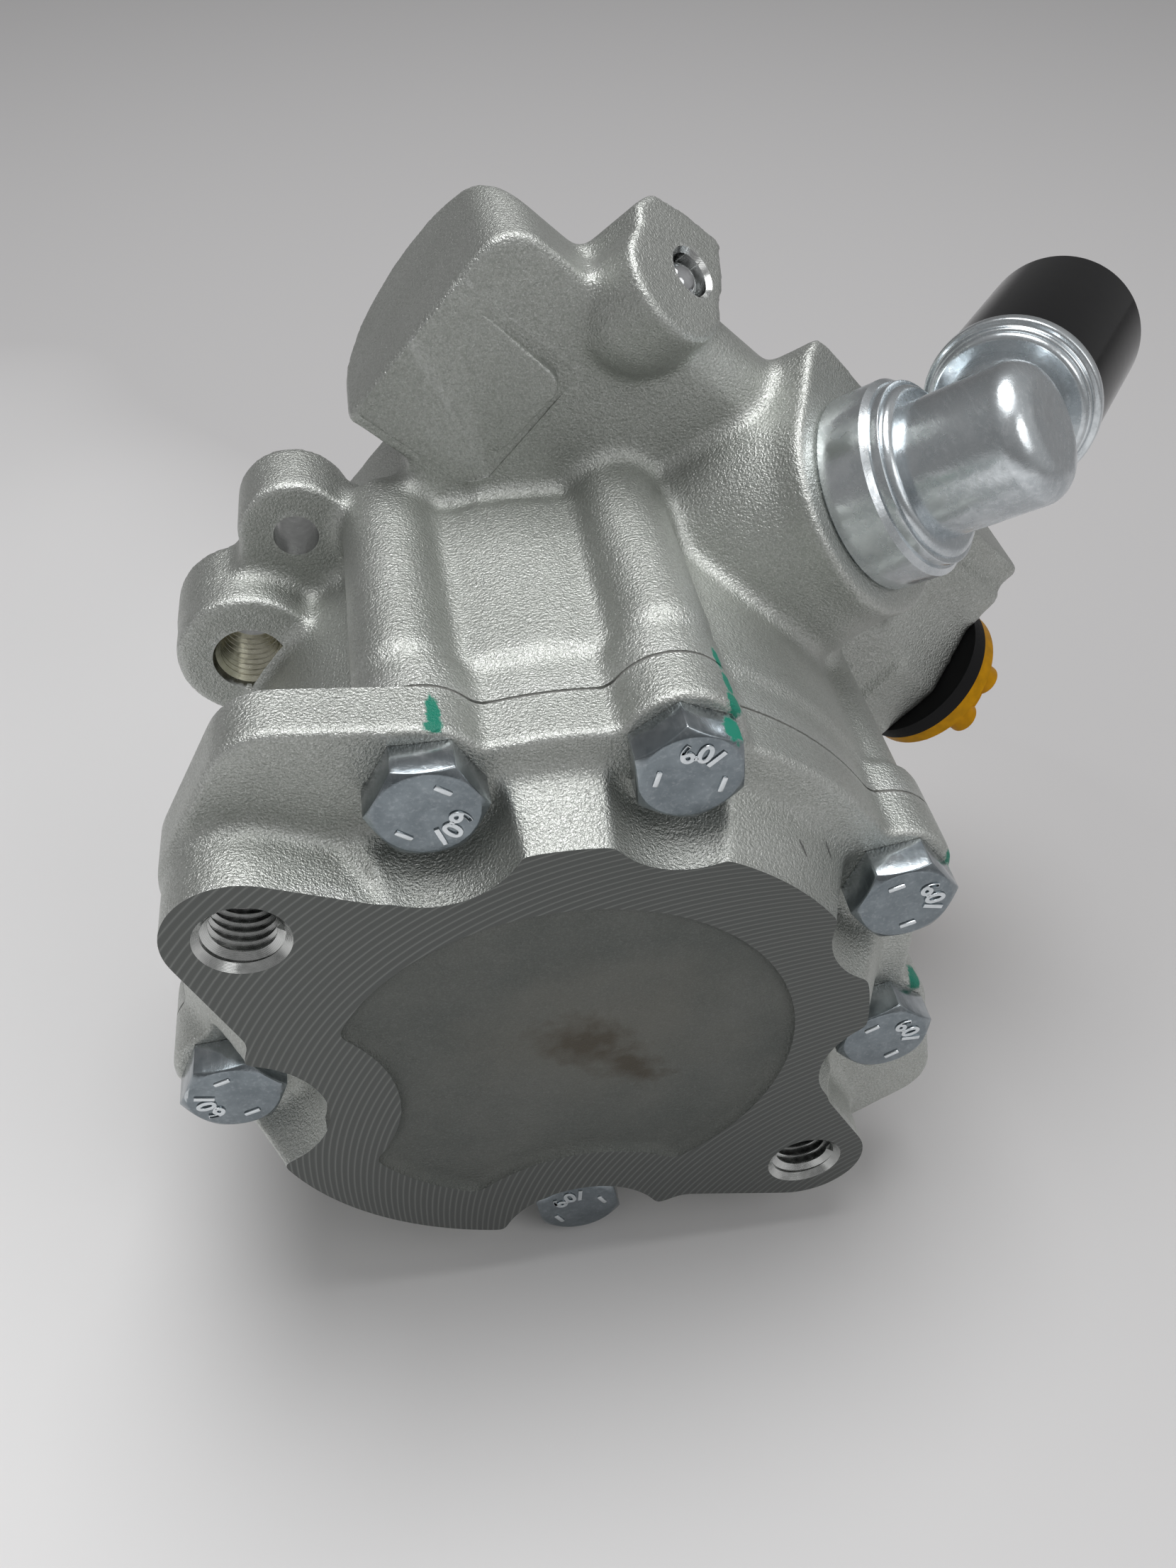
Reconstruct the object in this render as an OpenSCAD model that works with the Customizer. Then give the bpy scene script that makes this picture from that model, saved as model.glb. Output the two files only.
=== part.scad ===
// Power steering pump: vane pump with a flow control valve, seen from its rear cover.
// Drawn on the pump's own axes: u across, w up, depth measured from the milled rear face.
// The lying() step then turns the whole pump to how it rests: drive end along +Y, +Z up.

/* [Rest] */
// Turn of the pump about its shaft as it lies on a bench, in degrees
lie_angle = 42.1; // [0:0.1:90]

/* [Rear cover] */
// Radius of the milled rear face
face_r = 43.2; // [40:0.1:46]
// Depth from the milled face to the joint with the gasket
cover_depth = 17.3; // [15:0.1:20]
// Depth of the seats under the bolt heads
seat_depth = 9.3; // [8:0.1:11]
// Radius of the as-cast recess in the milled face
recess_r = 33; // [26:0.5:34]
// Depth of the as-cast recess
recess_depth = 1.2; // [0.5:0.1:3]
// Distance between the two tapped mounting holes
mount_span = 102.8; // [100:0.1:106]
// Thread radius of the mounting holes
mount_thread_r = 5; // [4:0.5:6]

/* [Bolts] */
// Radius of the cover bolt circle
bolt_circle_r = 48.4; // [47:0.1:50]
// Height of the bolt circle's centre above the shaft
bolt_offset = 3.5; // [0:0.1:5]
// Thread radius of the cover bolts
bolt_r = 4; // [3:0.5:5]
// Width of the bolt head across its flats
bolt_flats = 13; // [10:1:17]
// Height of the bolt head
head_height = 5.3; // [4:0.1:6.5]
// Length of the cover bolts under the head
bolt_length = 36; // [30:1:40]

/* [Housing] */
// Radius of the rim where housing and cover meet
rim_r = 50.4; // [49:0.1:52]
// Radius of the cast wall behind the rim
wall_r = 48; // [46:0.1:49]
// Thickness of the housing rim
rim_thick = 6.2; // [4:0.1:9]
// Depth of the shoulder at the drive end of the wall
shoulder_depth = 62; // [60:0.5:62.5]
// Radius of the bearing nose
nose_r = 26.5; // [25:0.5:30]
// Depth of the end of the bearing nose
nose_depth = 86; // [84:0.5:92]

/* [Valve block] */
// Height of the valve bore's axis above the shaft
valve_rise = 54; // [52:0.5:58]
// Depth of the valve bore's axis
valve_depth = 71.5; // [71:0.5:76]
// Radius of the rounded back of the valve block
block_r = 17.5; // [16:0.5:20]
// Radius of the valve bore
valve_r = 7.3; // [6:0.1:7.5]
// Distance of the closed left end from the shaft
block_left = 60; // [56:0.5:64]
// Distance of the outlet end from the shaft
block_right = 50; // [48:0.5:56]

/* [Suction port] */
// Distance of the centre of the suction face to the right of the shaft
suction_across = 4.4; // [0:0.1:8]
// Height of the centre of the suction face above the shaft
suction_rise = 75.4; // [72:0.1:80]
// Depth of the centre of the suction face
suction_depth = 54.6; // [52:0.1:60]
// Lean of the suction port back from the shaft's direction, in degrees
suction_tilt = 62.8; // [50:0.1:80]
// Lean of the suction port to the right, in degrees
suction_swing = 6.1; // [0:0.1:12]
// Outer radius of the pressed collar
collar_r = 14.5; // [13:0.1:15.5]
// Outer radius of the elbow
elbow_r = 10; // [8.5:0.1:11.5]
// Length of the elbow from collar to closed end
elbow_length = 20; // [18:0.5:26]
// Direction of the hose branch about the elbow, in degrees
branch_turn = 63.2; // [30:0.1:90]

/* [Pumping set] */
// Radius of the bore that holds the pumping set
cavity_r = 38; // [36:0.1:38.5]
// Radius of the rotor
rotor_r = 22; // [20:0.1:24]
// Width of the rotor and the cam ring
rotor_width = 18; // [14:0.5:20]
// Rise of the cam from its short to its long axis
cam_lift = 2.4; // [1.5:0.1:3.5]
// Number of vanes
vane_count = 10; // [8:1:12]
// Thickness of a vane
vane_thick = 1.6; // [1.2:0.1:2]
// Radius of the shaft
shaft_r = 8.5; // [7.5:0.1:9]

/* [Drive hub] */
// Radius of the hub's flange
hub_r = 31; // [26:0.5:36]
// Pitch circle radius of the hub's tapped holes
hub_pitch_r = 22.5; // [20:0.5:26]
// Radius of the pilot that centres the pulley
pilot_r = 14; // [12:0.5:15]

/* [Hidden] */
$fn = 96;
slip = 0.05;
cut = 0.5;
gasket_thick = 0.5;
gasket_inset = 0.6;
bolt_clearance = 0.3;
housing_start = cover_depth + gasket_thick;
wall_start = housing_start + rim_thick;
half_span = mount_span / 2;
shoulder_drop = 2;
shoulder_rise = 6;
shoulder_foot = 8;
nose_chamfer = 1;

// Cover bolts: pairs mirrored about the pump's upright plane
bolt_angles = [25.6, 63, 138];
function bolt_spot(side, turn) =
    [side * bolt_circle_r * sin(turn), bolt_offset + bolt_circle_r * cos(turn)];
top_bolts = [for (side = [-1, 1]) bolt_spot(side, bolt_angles[0])];
side_bolts = [for (side = [-1, 1]) bolt_spot(side, bolt_angles[1])];
low_bolts = [for (side = [-1, 1]) bolt_spot(side, bolt_angles[2])];
bolt_spots = concat(top_bolts, side_bolts, low_bolts);
head_turns = [35, 10, 0, 20, 5, 40];
boss_r = bolt_flats / 2 + 1.8;
column_r = bolt_flats / 2 + 0.4;
column_ends = [for (reach = [4, 4, 4, -3, -3, -3]) shoulder_depth + reach];
bolt_end = seat_depth + bolt_length;
bolt_tip = 1.2;
head_top = seat_depth - head_height;

// Cast pockets round the bolt heads, wider at the milled face
pocket_floor_r = bolt_flats / 2 + 2.6;
pocket_mouth_r = pocket_floor_r + 2.6;
low_pocket_floor_r = pocket_floor_r + 1.4;
low_pocket_mouth_r = pocket_mouth_r + 1.6;
land_r = 22.4;

// Mounting ears of the cover
lobe_r = 9.6;
lobe_root_r = 20;
lobe_root = [25, -2];
corner_r = 8.2;
corner = [57, 15.5];
tapped_depth = 15;
tapped_chamfer = 0.8;

// Valve block
block_front = shoulder_depth;
block_low = valve_rise - block_r;
block_high = valve_rise + block_r;
block_back = valve_depth + block_r;
block_corner_r = 6;
step_height = 0.9;
step_width = 15;
step_tall = 16;
step_spot = [1 - block_left, block_low + 3];
step_r = 4;
web_foot = 20;
web_root = 6;
web_left = block_left - 12;
web_right = block_right - 8;
web_depth = valve_depth + 8;
outlet_width = 22;
outlet_pad_width = 10;
outlet_cut_left = 31;
// Rise and depth of the corner cast back above the outlet
outlet_cut = [[54, 60], [65.6, 67.2], [73, 68.2], [74.3, 70.4], [81, 70.4], [81, 60]];
valve_end_wall = 20;
valve_left = valve_end_wall - block_left;
union_r = valve_r + 0.9;
union_length = 15.5;
union_bore_r = valve_r - 0.6;
union_bore_depth = 12;
union_feed_r = 3;
ring_r = 13.8;
ring_thick = 3;
plug_r = union_bore_r - 0.1;
plug_depth = 10;
plug_flange_r = 13.4;
plug_flange_thick = 3;
plug_grip_r = 8;
plug_grip_height = 6;
plug_lobe_r = 2.8;
union_start = block_right - union_length - 0.5;
outlet_high = block_high + 7;

// Oil ways from the valve bore to the pump chamber
oil_way_r = 3;
oil_way_across = 14;
oil_way_tilt = 55;
oil_way_length = 27;

// Ball-plugged drilling on top of the valve block
ball_boss = [-35, 80.4, 65];
ball_boss_tilt = 66;
ball_boss_length = 21;
ball_boss_nose_spot = [-2.2, -3.6];
ball_boss_nose = [[0, 0], [8.6, 0], [8.6, -8.4], [7.4, -12], [4.6, -15], [0, -16.4]];
ball_boss_corner = [[-9.6, -1], [-10.6, 4.4], [-8.6, 8], [-3, 9.6], [4.6, 10.4], [6.3, 2], [5.4, -1]];
gallery_r = 7.3;
gallery_rise = block_high - 1.7;
gallery_depth = ball_boss[2] + 4.5;
ball_r = 3.2;
ball_hole_depth = 22;
ball_sink = 0.6;

// Mounting ears on the housing's left side
ear_spot = [-55.4, 17.9];
ear_r = 8.2;
ear_hole_r = 3.2;
ear_face = 61;
ear_thick = 8;
ear_neck = [-59, 8.8];
stud_spot = [-half_span, 0];
stud_r = 10.7;
stud_face = 54.2;
ear_roots = [[-38, 30], [-38, -6]];
stud_roots = [[-36, 8], [-36, -10]];

// Suction port
suction_face_r = 18;
suction_root_r = 23;
suction_length = 27;
suction_corners = [[-17.8, 0], [-18.3, 12.5], [-17.2, 16.2], [-14, 17.3],
                   [12, 17.3], [14.8, 16], [16, 12.5], [17.8, 0]];
suction_bore_r = 10.6;
suction_bore_depth = 12;
suction_feed_r = 6;
suction_feed_depth = 24;
collar_height = 7.8;
foot_r = elbow_r + 2.6;
foot_thick = 2.4;
foot_start = 3.3;
tube_r = 9;
tube_bore_r = 7;
bead_r = elbow_r + 1.5;
branch_height = collar_height + 9;
branch_length = 38;
cap_r = 12.6;
cap_start = 19;
cap_length = 32;

// Pumping set, stacked from the rear pressure plate to the front side plate
stack_start = cover_depth + 4.5;
plate_thick = 9;
cam_start = stack_start + plate_thick;
cam_end = cam_start + rotor_width;
front_plate_thick = 8;
cavity_end = cam_end + front_plate_thick;
cam_outer_r = cavity_r - 2;
cam_short_r = rotor_r + 0.8;
vane_tip_r = rotor_r + 0.4;
vane_length = 9;
slot_root_r = vane_tip_r - vane_length - cam_lift - 0.3;
plate_hole_r = shaft_r + 1.5;
dowel_r = 2.5;
dowel_pitch_r = cavity_r - 6.5;
dowel_spots = [for (side = [-1, 1]) side * dowel_pitch_r * [sin(40), cos(40)]];
port_r = 3;
port_pitch_r = 24.5;
port_turns = [85, 265];
spigot_inner_r = 31;
spigot_end = cover_depth + 4;
ring_groove_start = cover_depth + 0.9;
ring_groove_width = 2.2;
ring_groove_depth = 2.2;
ring_section_r = 1.02;
bush_wall = 4;
cover_floor = 10;
bush_r = shaft_r + 2;
disc_small_r = 18;
disc_large_r = 27;
disc_wall = 1.2;

// Shaft seal, bearing and hub along the nose
seal_start = cavity_end + 3;
seal_thick = 7;
seal_r = 15;
bearing_start = seal_start + seal_thick + 0.8;
bearing_thick = 12;
bearing_middle = bearing_start + bearing_thick / 2;
bearing_r = 20;
race_step = 4.2;
ball_pitch_r = (bearing_r + shaft_r) / 2;
bearing_ball_r = 3.3;
bearing_ball_count = 8;
cage_inset = 1.4;
cage_wall = 1.6;
circlip_start = bearing_start + bearing_thick + 0.1;
circlip_thick = 1.6;
circlip_gap = 8;
shaft_start = cover_floor + 1;
hub_start = nose_depth + 3;
hub_flange_start = hub_start + 9;
hub_end = hub_flange_start + 7;
pilot_length = 3;
shaft_end = hub_end + 2;

// Flow control valve, along the valve bore
spool_r = valve_r - 0.03;
spool_length = 36;
spool_right = block_right - union_length - 0.1;
spool_left = spool_right - spool_length;
spool_groove_r = valve_r - 1.5;
spool_groove_width = 3;
spool_grooves = [9, 16, 25];
spring_seat = 6;
spring_wire_r = 0.9;
spring_coil_r = valve_r - spring_wire_r - 1.9;
spring_turns = 9;

// Turn from the pump's own axes to how it lies, with depth along +Y
module lying() rotate([90, 0, 0]) rotate([0, 0, -lie_angle]) children();

// Extrusion of an outline between two depths below the milled face
module slab(near, far) translate([0, 0, -far]) linear_extrude(far - near) children();

// Drum and cone about the shaft between two depths
module drum(near, far, r) translate([0, 0, -far]) cylinder(h = far - near, r = r);
module taper(near, far, near_r, far_r)
    translate([0, 0, -far]) cylinder(h = far - near, r1 = far_r, r2 = near_r);

// Ring about the shaft between two depths
module collar_ring(near, far, outer_r, inner_r) difference() {
    drum(near, far, outer_r);
    drum(near - cut, far + cut, inner_r);
}

// Cylinder along the valve bore's axis between two places across the pump
module across(left, right, r)
    translate([left, valve_rise, -valve_depth]) rotate([0, 90, 0]) cylinder(h = right - left, r = r);

// Outline of two round bosses joined by their outer tangents
function heading(turn) = [cos(turn), sin(turn)];
module strap(p, p_r, q, q_r) {
    line = atan2(q[1] - p[1], q[0] - p[0]);
    lean = acos((p_r - q_r) / norm(q - p));
    translate(p) circle(r = p_r);
    translate(q) circle(r = q_r);
    polygon([p + p_r * heading(line + lean), q + q_r * heading(line + lean),
             q + q_r * heading(line - lean), p + p_r * heading(line - lean)]);
}

// Frame of the suction port: z out along the port, x across the pump
module at_suction() translate([suction_across, suction_rise, -suction_depth])
    rotate([0, 0, -suction_swing]) rotate([-suction_tilt, 0, 0]) children();
// Frame of the hose branch on the elbow: z out along the branch
module at_branch() at_suction() translate([0, 0, branch_height]) rotate([0, 0, branch_turn])
    rotate([0, 90, 0]) children();
// Frame of the ball-plugged boss: z out of its hole
module at_ball_boss() translate([ball_boss[0], ball_boss[1], -ball_boss[2]])
    rotate([-ball_boss_tilt, 0, 0]) children();

// Rim outline shared by cover, gasket and housing
module rim_outline(grow) {
    translate([0, bolt_offset]) circle(r = rim_r + grow);
    for (spot = bolt_spots) translate(spot) circle(r = boss_r + grow);
}

// Flange of one cover ear: out from the side bolt, round the corner, down past the tapped hole
module ear_flange(side) mirror([side < 0 ? 1 : 0, 0]) {
    strap(side_bolts[1], boss_r, corner, corner_r);
    strap(corner, corner_r, [half_span, 0], lobe_r + 0.6);
    strap([half_span, 0], lobe_r + 0.4, lobe_root, lobe_root_r);
    polygon([side_bolts[1], corner, [half_span, 0], [0, 0]]);
}

// Raised pad of the cover, before the bolt pockets are taken out
module cover_pad() {
    difference() {
        taper(0, cover_depth, face_r, rim_r + 1.5);
        slab(-cut, seat_depth) for (side = [-1, 1]) mirror([side < 0 ? 1 : 0, 0])
            strap(side_bolts[1], pocket_floor_r, [half_span + 12, 14], pocket_floor_r);
    }
    slab(0, seat_depth + 1) for (side = [-1, 1]) mirror([side < 0 ? 1 : 0, 0])
        strap([half_span, 0], lobe_r, lobe_root, lobe_root_r);
}

module cover_pockets() {
    for (spot = concat(top_bolts, side_bolts))
        translate(spot) taper(-cut, seat_depth, pocket_mouth_r, pocket_floor_r);
    for (spot = low_bolts)
        translate(spot) taper(-cut, seat_depth, low_pocket_mouth_r, low_pocket_floor_r);
}

module rear_cover() color("silver") lying() difference() {
    union() {
        difference() {
            cover_pad();
            cover_pockets();
        }
        slab(seat_depth, cover_depth) {
            rim_outline(0);
            for (side = [-1, 1]) ear_flange(side);
        }
        drum(seat_depth, spigot_end, cavity_r - slip);
    }
    // As-cast recess, leaving lands beside the two low bolts
    slab(-cut, recess_depth) difference() {
        circle(r = recess_r);
        for (spot = low_bolts) translate(spot) circle(r = land_r);
    }
    for (spot = bolt_spots) translate(spot) drum(-cut, spigot_end + cut, bolt_r + bolt_clearance);
    for (side = [-1, 1]) translate([side * half_span, 0]) drum(-cut, tapped_depth, mount_thread_r);
    // Inside: spring chamber round the bush boss, and the seal groove on the spigot
    difference() {
        drum(cover_floor, spigot_end + cut, spigot_inner_r);
        drum(cover_floor - cut, cover_depth, bush_r + bush_wall);
    }
    drum(cover_floor, spigot_end + cut, bush_r);
    collar_ring(ring_groove_start, ring_groove_start + ring_groove_width,
                cavity_r + cut, cavity_r - ring_groove_depth);
}

module cover_gasket() color("dimgray") lying() slab(cover_depth, housing_start) difference() {
    rim_outline(-gasket_inset);
    circle(r = cavity_r + bolt_clearance);
    for (spot = bolt_spots) translate(spot) circle(r = bolt_r + bolt_clearance);
}

module cover_o_ring() color("black") lying()
    translate([0, 0, -(ring_groove_start + ring_groove_width / 2)]) rotate_extrude()
        translate([cavity_r - ring_groove_depth + ring_section_r + slip, 0]) circle(r = ring_section_r);

// Hexagon bolt with a chamfered head, standing in its pocket
module hex_bolt() {
    intersection() {
        translate([0, 0, -seat_depth]) cylinder(h = head_height, r = bolt_flats / 2 / cos(30), $fn = 6);
        taper(head_top, seat_depth, bolt_flats / 2 - 0.3, bolt_flats / 2 + head_height * tan(60));
    }
    drum(seat_depth - cut, bolt_end - bolt_tip, bolt_r);
    taper(bolt_end - bolt_tip, bolt_end, bolt_r, bolt_r - 1);
}

module cover_bolts() color("lightsteelblue") lying() for (index = [0:len(bolt_spots) - 1])
    translate(bolt_spots[index]) rotate(lie_angle + head_turns[index]) hex_bolt();

// Housing casting: rim, wall with bolt columns, shoulder and bearing nose
module housing_body() {
    slab(housing_start, wall_start) rim_outline(0);
    translate([0, bolt_offset, 0]) drum(wall_start - cut, shoulder_depth - shoulder_drop, wall_r);
    for (index = [0:len(bolt_spots) - 1])
        translate(bolt_spots[index]) drum(wall_start - cut, column_ends[index], column_r);
    translate([0, bolt_offset])
        taper(shoulder_depth - shoulder_drop, shoulder_depth + shoulder_rise, wall_r, nose_r + shoulder_foot);
    drum(shoulder_depth, nose_depth - nose_chamfer, nose_r);
    taper(nose_depth - nose_chamfer, nose_depth, nose_r, nose_r - nose_chamfer);
}

// Valve block: flat towards the cover, round at the back, one rounded upper corner
module valve_block() {
    intersection() {
        translate([-block_left, 0, 0]) rotate([90, 0, 90]) linear_extrude(block_left + block_right) {
            translate([valve_rise, -valve_depth]) circle(r = block_r);
            translate([block_low, -valve_depth]) square([2 * block_r, valve_depth - block_front]);
        }
        slab(block_front, block_back) {
            translate([-block_left, block_low]) square([2 * block_left, 2 * block_r - block_corner_r]);
            translate([block_corner_r - block_left, block_low]) square([2 * block_left, 2 * block_r]);
            translate([block_corner_r - block_left, block_high - block_corner_r]) circle(r = block_corner_r);
        }
    }
    // Raised step on the flat towards the cover
    slab(block_front - step_height, block_front) translate(step_spot) {
        square([step_width, step_tall + step_r]);
        square([step_width + step_r, step_tall]);
        translate([step_width, step_tall]) circle(r = step_r);
    }
    // Web down to the wall and the squared outlet end
    slab(block_front, web_depth) translate([-web_left, web_foot])
        square([web_left + web_right, block_low + web_root - web_foot]);
    slab(block_front, block_back - 2) translate([block_right - outlet_width, block_low + 4])
        square([outlet_width, outlet_high - block_low - 4]);
    slab(block_front - 1, block_front + 1) translate([block_right - outlet_pad_width, block_low + 4])
        square([outlet_pad_width, valve_rise - block_low]);
}

module suction_boss() at_suction() {
    translate([0, 0, -suction_length])
        cylinder(h = suction_length, r1 = suction_root_r, r2 = suction_face_r - 1);
    translate([0, 0, -suction_length]) linear_extrude(suction_length) {
        circle(r = suction_face_r);
        polygon(suction_corners);
    }
}

module ball_plug_boss() {
    at_ball_boss() {
        translate(ball_boss_nose_spot) rotate_extrude() polygon(ball_boss_nose);
        translate([0, 0, -ball_boss_length]) linear_extrude(ball_boss_length) polygon(ball_boss_corner);
    }
    // Cast gallery from the boss to the suction port
    translate([ball_boss[0] + 1, gallery_rise, -gallery_depth]) rotate([0, 90, 0])
        cylinder(h = -ball_boss[0] - 1, r = gallery_r);
}

module side_ears() {
    slab(ear_face, ear_face + ear_thick) {
        translate(ear_spot) circle(r = ear_r);
        translate(stud_spot) circle(r = stud_r);
        polygon([ear_spot + [1, ear_r - 0.6], ear_roots[0], ear_roots[1], stud_spot + [2, 0.6 - stud_r],
                 stud_spot + [-8, 6], ear_neck, ear_spot - [ear_r - 0.6, 2.4]]);
    }
    slab(stud_face, ear_face + cut) {
        translate(stud_spot) circle(r = stud_r - 0.2);
        polygon([stud_spot + [2, stud_r - 0.8], stud_roots[0], stud_roots[1], stud_spot + [2, 0.8 - stud_r]]);
    }
}

module housing() color("gainsboro") lying() difference() {
    union() {
        housing_body();
        valve_block();
        suction_boss();
        ball_plug_boss();
        side_ears();
    }
    // Pump chamber, shaft hole, seal seat, bearing seat and circlip groove
    drum(housing_start - cut, cavity_end, cavity_r);
    drum(cavity_end - cut, nose_depth, shaft_r + 1);
    drum(seal_start, bearing_start, seal_r);
    drum(bearing_start, nose_depth + cut, bearing_r);
    drum(circlip_start - 0.05, circlip_start + circlip_thick + 0.05, bearing_r + 1.4);
    for (spot = bolt_spots) translate(spot) drum(housing_start - cut, bolt_end + 2, bolt_r + slip);
    for (spot = dowel_spots) translate(spot) drum(cavity_end - cut, cavity_end + 5, dowel_r + slip);
    // Corner cast back above the outlet
    translate([outlet_cut_left, 0, 0]) rotate([90, 0, 90]) linear_extrude(block_right - outlet_cut_left + cut)
        polygon([for (corner = outlet_cut) [corner[0], -corner[1]]]);
    // Valve bore and the wider thread of the outlet union
    across(valve_left, block_right + cut, valve_r);
    across(union_start, block_right + cut, union_r);
    // Suction seat, its feed to the valve bore, and two oil ways to the chamber
    at_suction() {
        translate([0, 0, -suction_bore_depth]) cylinder(h = suction_bore_depth + cut, r = suction_bore_r);
        translate([0, 0, -suction_feed_depth])
            cylinder(h = suction_feed_depth - suction_bore_depth + cut, r = suction_feed_r);
    }
    for (place = [-oil_way_across, oil_way_across]) translate([place, valve_rise, -valve_depth])
        rotate([oil_way_tilt, 0, 0]) cylinder(h = oil_way_length, r = oil_way_r);
    at_ball_boss() translate([0, 0, -ball_hole_depth])
        cylinder(h = ball_hole_depth + cut, r = ball_r - 0.02);
    // Ear holes
    translate(ear_spot) drum(ear_face - cut, ear_face + ear_thick + cut, ear_hole_r);
    translate(stud_spot) drum(stud_face - cut, ear_face + ear_thick + cut, mount_thread_r);
    translate(stud_spot) taper(stud_face - 0.01, stud_face + tapped_chamfer,
                               mount_thread_r + tapped_chamfer, mount_thread_r);
}

module ball_plug() color("silver") lying() at_ball_boss()
    translate([0, 0, -ball_r - ball_sink]) sphere(r = ball_r);

// Suction fitting: turned collar, forged elbow, hose nipple and transport cap
module suction_collar() color("lightsteelblue") lying() at_suction() rotate_extrude() polygon([
    [tube_bore_r, -suction_bore_depth + 0.5], [suction_bore_r - slip, -suction_bore_depth + 0.5],
    [suction_bore_r - slip, -7.2], [suction_bore_r - 1.9, -7.2], [suction_bore_r - 1.9, -4.8],
    [suction_bore_r - slip, -4.8], [suction_bore_r - slip, 0], [collar_r - 0.4, 0], [collar_r, 0.4],
    [collar_r, collar_height - 0.8], [collar_r - 0.8, collar_height], [elbow_r + 1.2, collar_height],
    [elbow_r + 0.4, collar_height - 1.2], [elbow_r, collar_height - 1.2], [elbow_r, collar_height - 3],
    [tube_bore_r, collar_height - 3]]);

module suction_o_ring() color("black") lying() at_suction() translate([0, 0, -6])
    rotate_extrude() translate([suction_bore_r - 1, 0]) circle(r = 0.85);

module suction_elbow() color("lightsteelblue") lying() difference() {
    at_suction() translate([0, 0, collar_height - 3]) rotate_extrude() {
        square([elbow_r, elbow_length - 1]);
        translate([0, foot_start]) square([foot_r - foot_thick / 2, foot_thick]);
        translate([foot_r - foot_thick / 2, foot_start + foot_thick / 2]) circle(r = foot_thick / 2);
        square([elbow_r - 4, elbow_length + 3]);
        translate([elbow_r - 4, elbow_length - 1]) circle(r = 4);
    }
    at_suction() translate([0, 0, collar_height - 4]) cylinder(h = elbow_length - 4, r = tube_bore_r);
    at_branch() cylinder(h = elbow_r + 5, r = tube_r);
}

module suction_nipple() color("lightsteelblue") lying() difference() {
    at_branch() {
        translate([0, 0, elbow_r - 4]) cylinder(h = branch_length - elbow_r + 4, r = tube_r);
        translate([0, 0, elbow_r + 4.6]) rotate_extrude() {
            square([bead_r - 0.9, 1.8]);
            translate([bead_r - 0.9, 0.9]) circle(r = 0.9);
        }
    }
    at_branch() cylinder(h = branch_length + cut, r = tube_bore_r);
    at_suction() cylinder(h = elbow_length, r = elbow_r - 2.8);
}

module suction_cap() color("black") lying() at_branch() translate([0, 0, cap_start])
    rotate_extrude() polygon([
        [tube_r + slip, 0], [cap_r, 0], [cap_r, cap_length - 3], [cap_r - 0.9, cap_length - 0.9],
        [cap_r - 3, cap_length], [0, cap_length], [0, cap_length - 2], [tube_r + slip, cap_length - 2]]);

// Frame of the outlet: z out along the valve bore from the block's end
module at_outlet() translate([block_right, valve_rise, -valve_depth]) rotate([0, 90, 0]) children();

module outlet_union() color("lightsteelblue") lying() at_outlet() difference() {
    translate([0, 0, -union_length]) cylinder(h = union_length, r = union_r - slip);
    translate([0, 0, -union_bore_depth]) cylinder(h = union_bore_depth + cut, r = union_bore_r);
    translate([0, 0, -union_length - cut]) cylinder(h = union_length, r = union_feed_r);
}

module outlet_seal() color("black") lying() at_outlet() difference() {
    cylinder(h = ring_thick, r = ring_r);
    translate([0, 0, -cut]) cylinder(h = ring_thick + 2 * cut, r = union_bore_r + 0.2);
}

// Transport plug: stem, flange and a lobed grip
module outlet_cap() color("gold") lying() at_outlet() {
    translate([0, 0, -plug_depth]) cylinder(h = plug_depth + ring_thick + 1, r = plug_r);
    translate([0, 0, ring_thick]) cylinder(h = plug_flange_thick, r = plug_flange_r);
    translate([0, 0, ring_thick + plug_flange_thick]) linear_extrude(plug_grip_height) {
        circle(r = plug_grip_r);
        for (turn = [0:60:300]) rotate(turn) translate([plug_grip_r - 0.4, 0]) circle(r = plug_lobe_r);
    }
}

module control_spool() color("silver") lying() difference() {
    across(spool_left, spool_right, spool_r);
    for (place = spool_grooves) difference() {
        across(spool_left + place, spool_left + place + spool_groove_width, valve_r);
        across(spool_left + place - cut, spool_left + place + spool_groove_width + cut, spool_groove_r);
    }
    across(spool_left - cut, spool_left + spring_seat, spring_coil_r + spring_wire_r + 0.2);
}

// Coil spring as a swept tube: rings of points along a helix with flat-lying ends
spring_from = valve_left;
spring_length = spool_left + spring_seat - spring_from - 2 * spring_wire_r;
spring_steps = 14;
spring_sides = 8;
function spring_point(step) = let (turn = 360 * step / spring_steps)
    [spring_from + spring_wire_r + spring_length * step / (spring_steps * spring_turns),
     valve_rise + spring_coil_r * cos(turn), -valve_depth + spring_coil_r * sin(turn)];
function spring_ring(step) = let (turn = 360 * step / spring_steps, spot = spring_point(step))
    [for (side = [0:spring_sides - 1]) let (roll = 360 * side / spring_sides)
     spot + spring_wire_r * [sin(roll), cos(roll) * cos(turn), cos(roll) * sin(turn)]];
spring_rings = spring_steps * spring_turns;

module spool_spring() color("dimgray") lying() polyhedron(
    points = [for (step = [0:spring_rings]) each spring_ring(step)],
    faces = concat(
        [[for (side = [0:spring_sides - 1]) side]],
        [for (step = [0:spring_rings - 1]) for (side = [0:spring_sides - 1])
         let (next = (side + 1) % spring_sides, base = step * spring_sides)
         [base + side, base + spring_sides + side, base + spring_sides + next, base + next]],
        [[for (side = [spring_sides - 1:-1:0]) spring_rings * spring_sides + side]]));

module rear_bush() color("peru") lying() collar_ring(cover_floor + 0.5, cover_depth, bush_r, shaft_r + slip);

module plate_spring() color("dimgray") lying() difference() {
    taper(cover_floor, stack_start - 0.1, disc_small_r, disc_large_r);
    taper(cover_floor - 0.01, stack_start, disc_small_r - disc_wall, disc_large_r - disc_wall);
}

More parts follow.
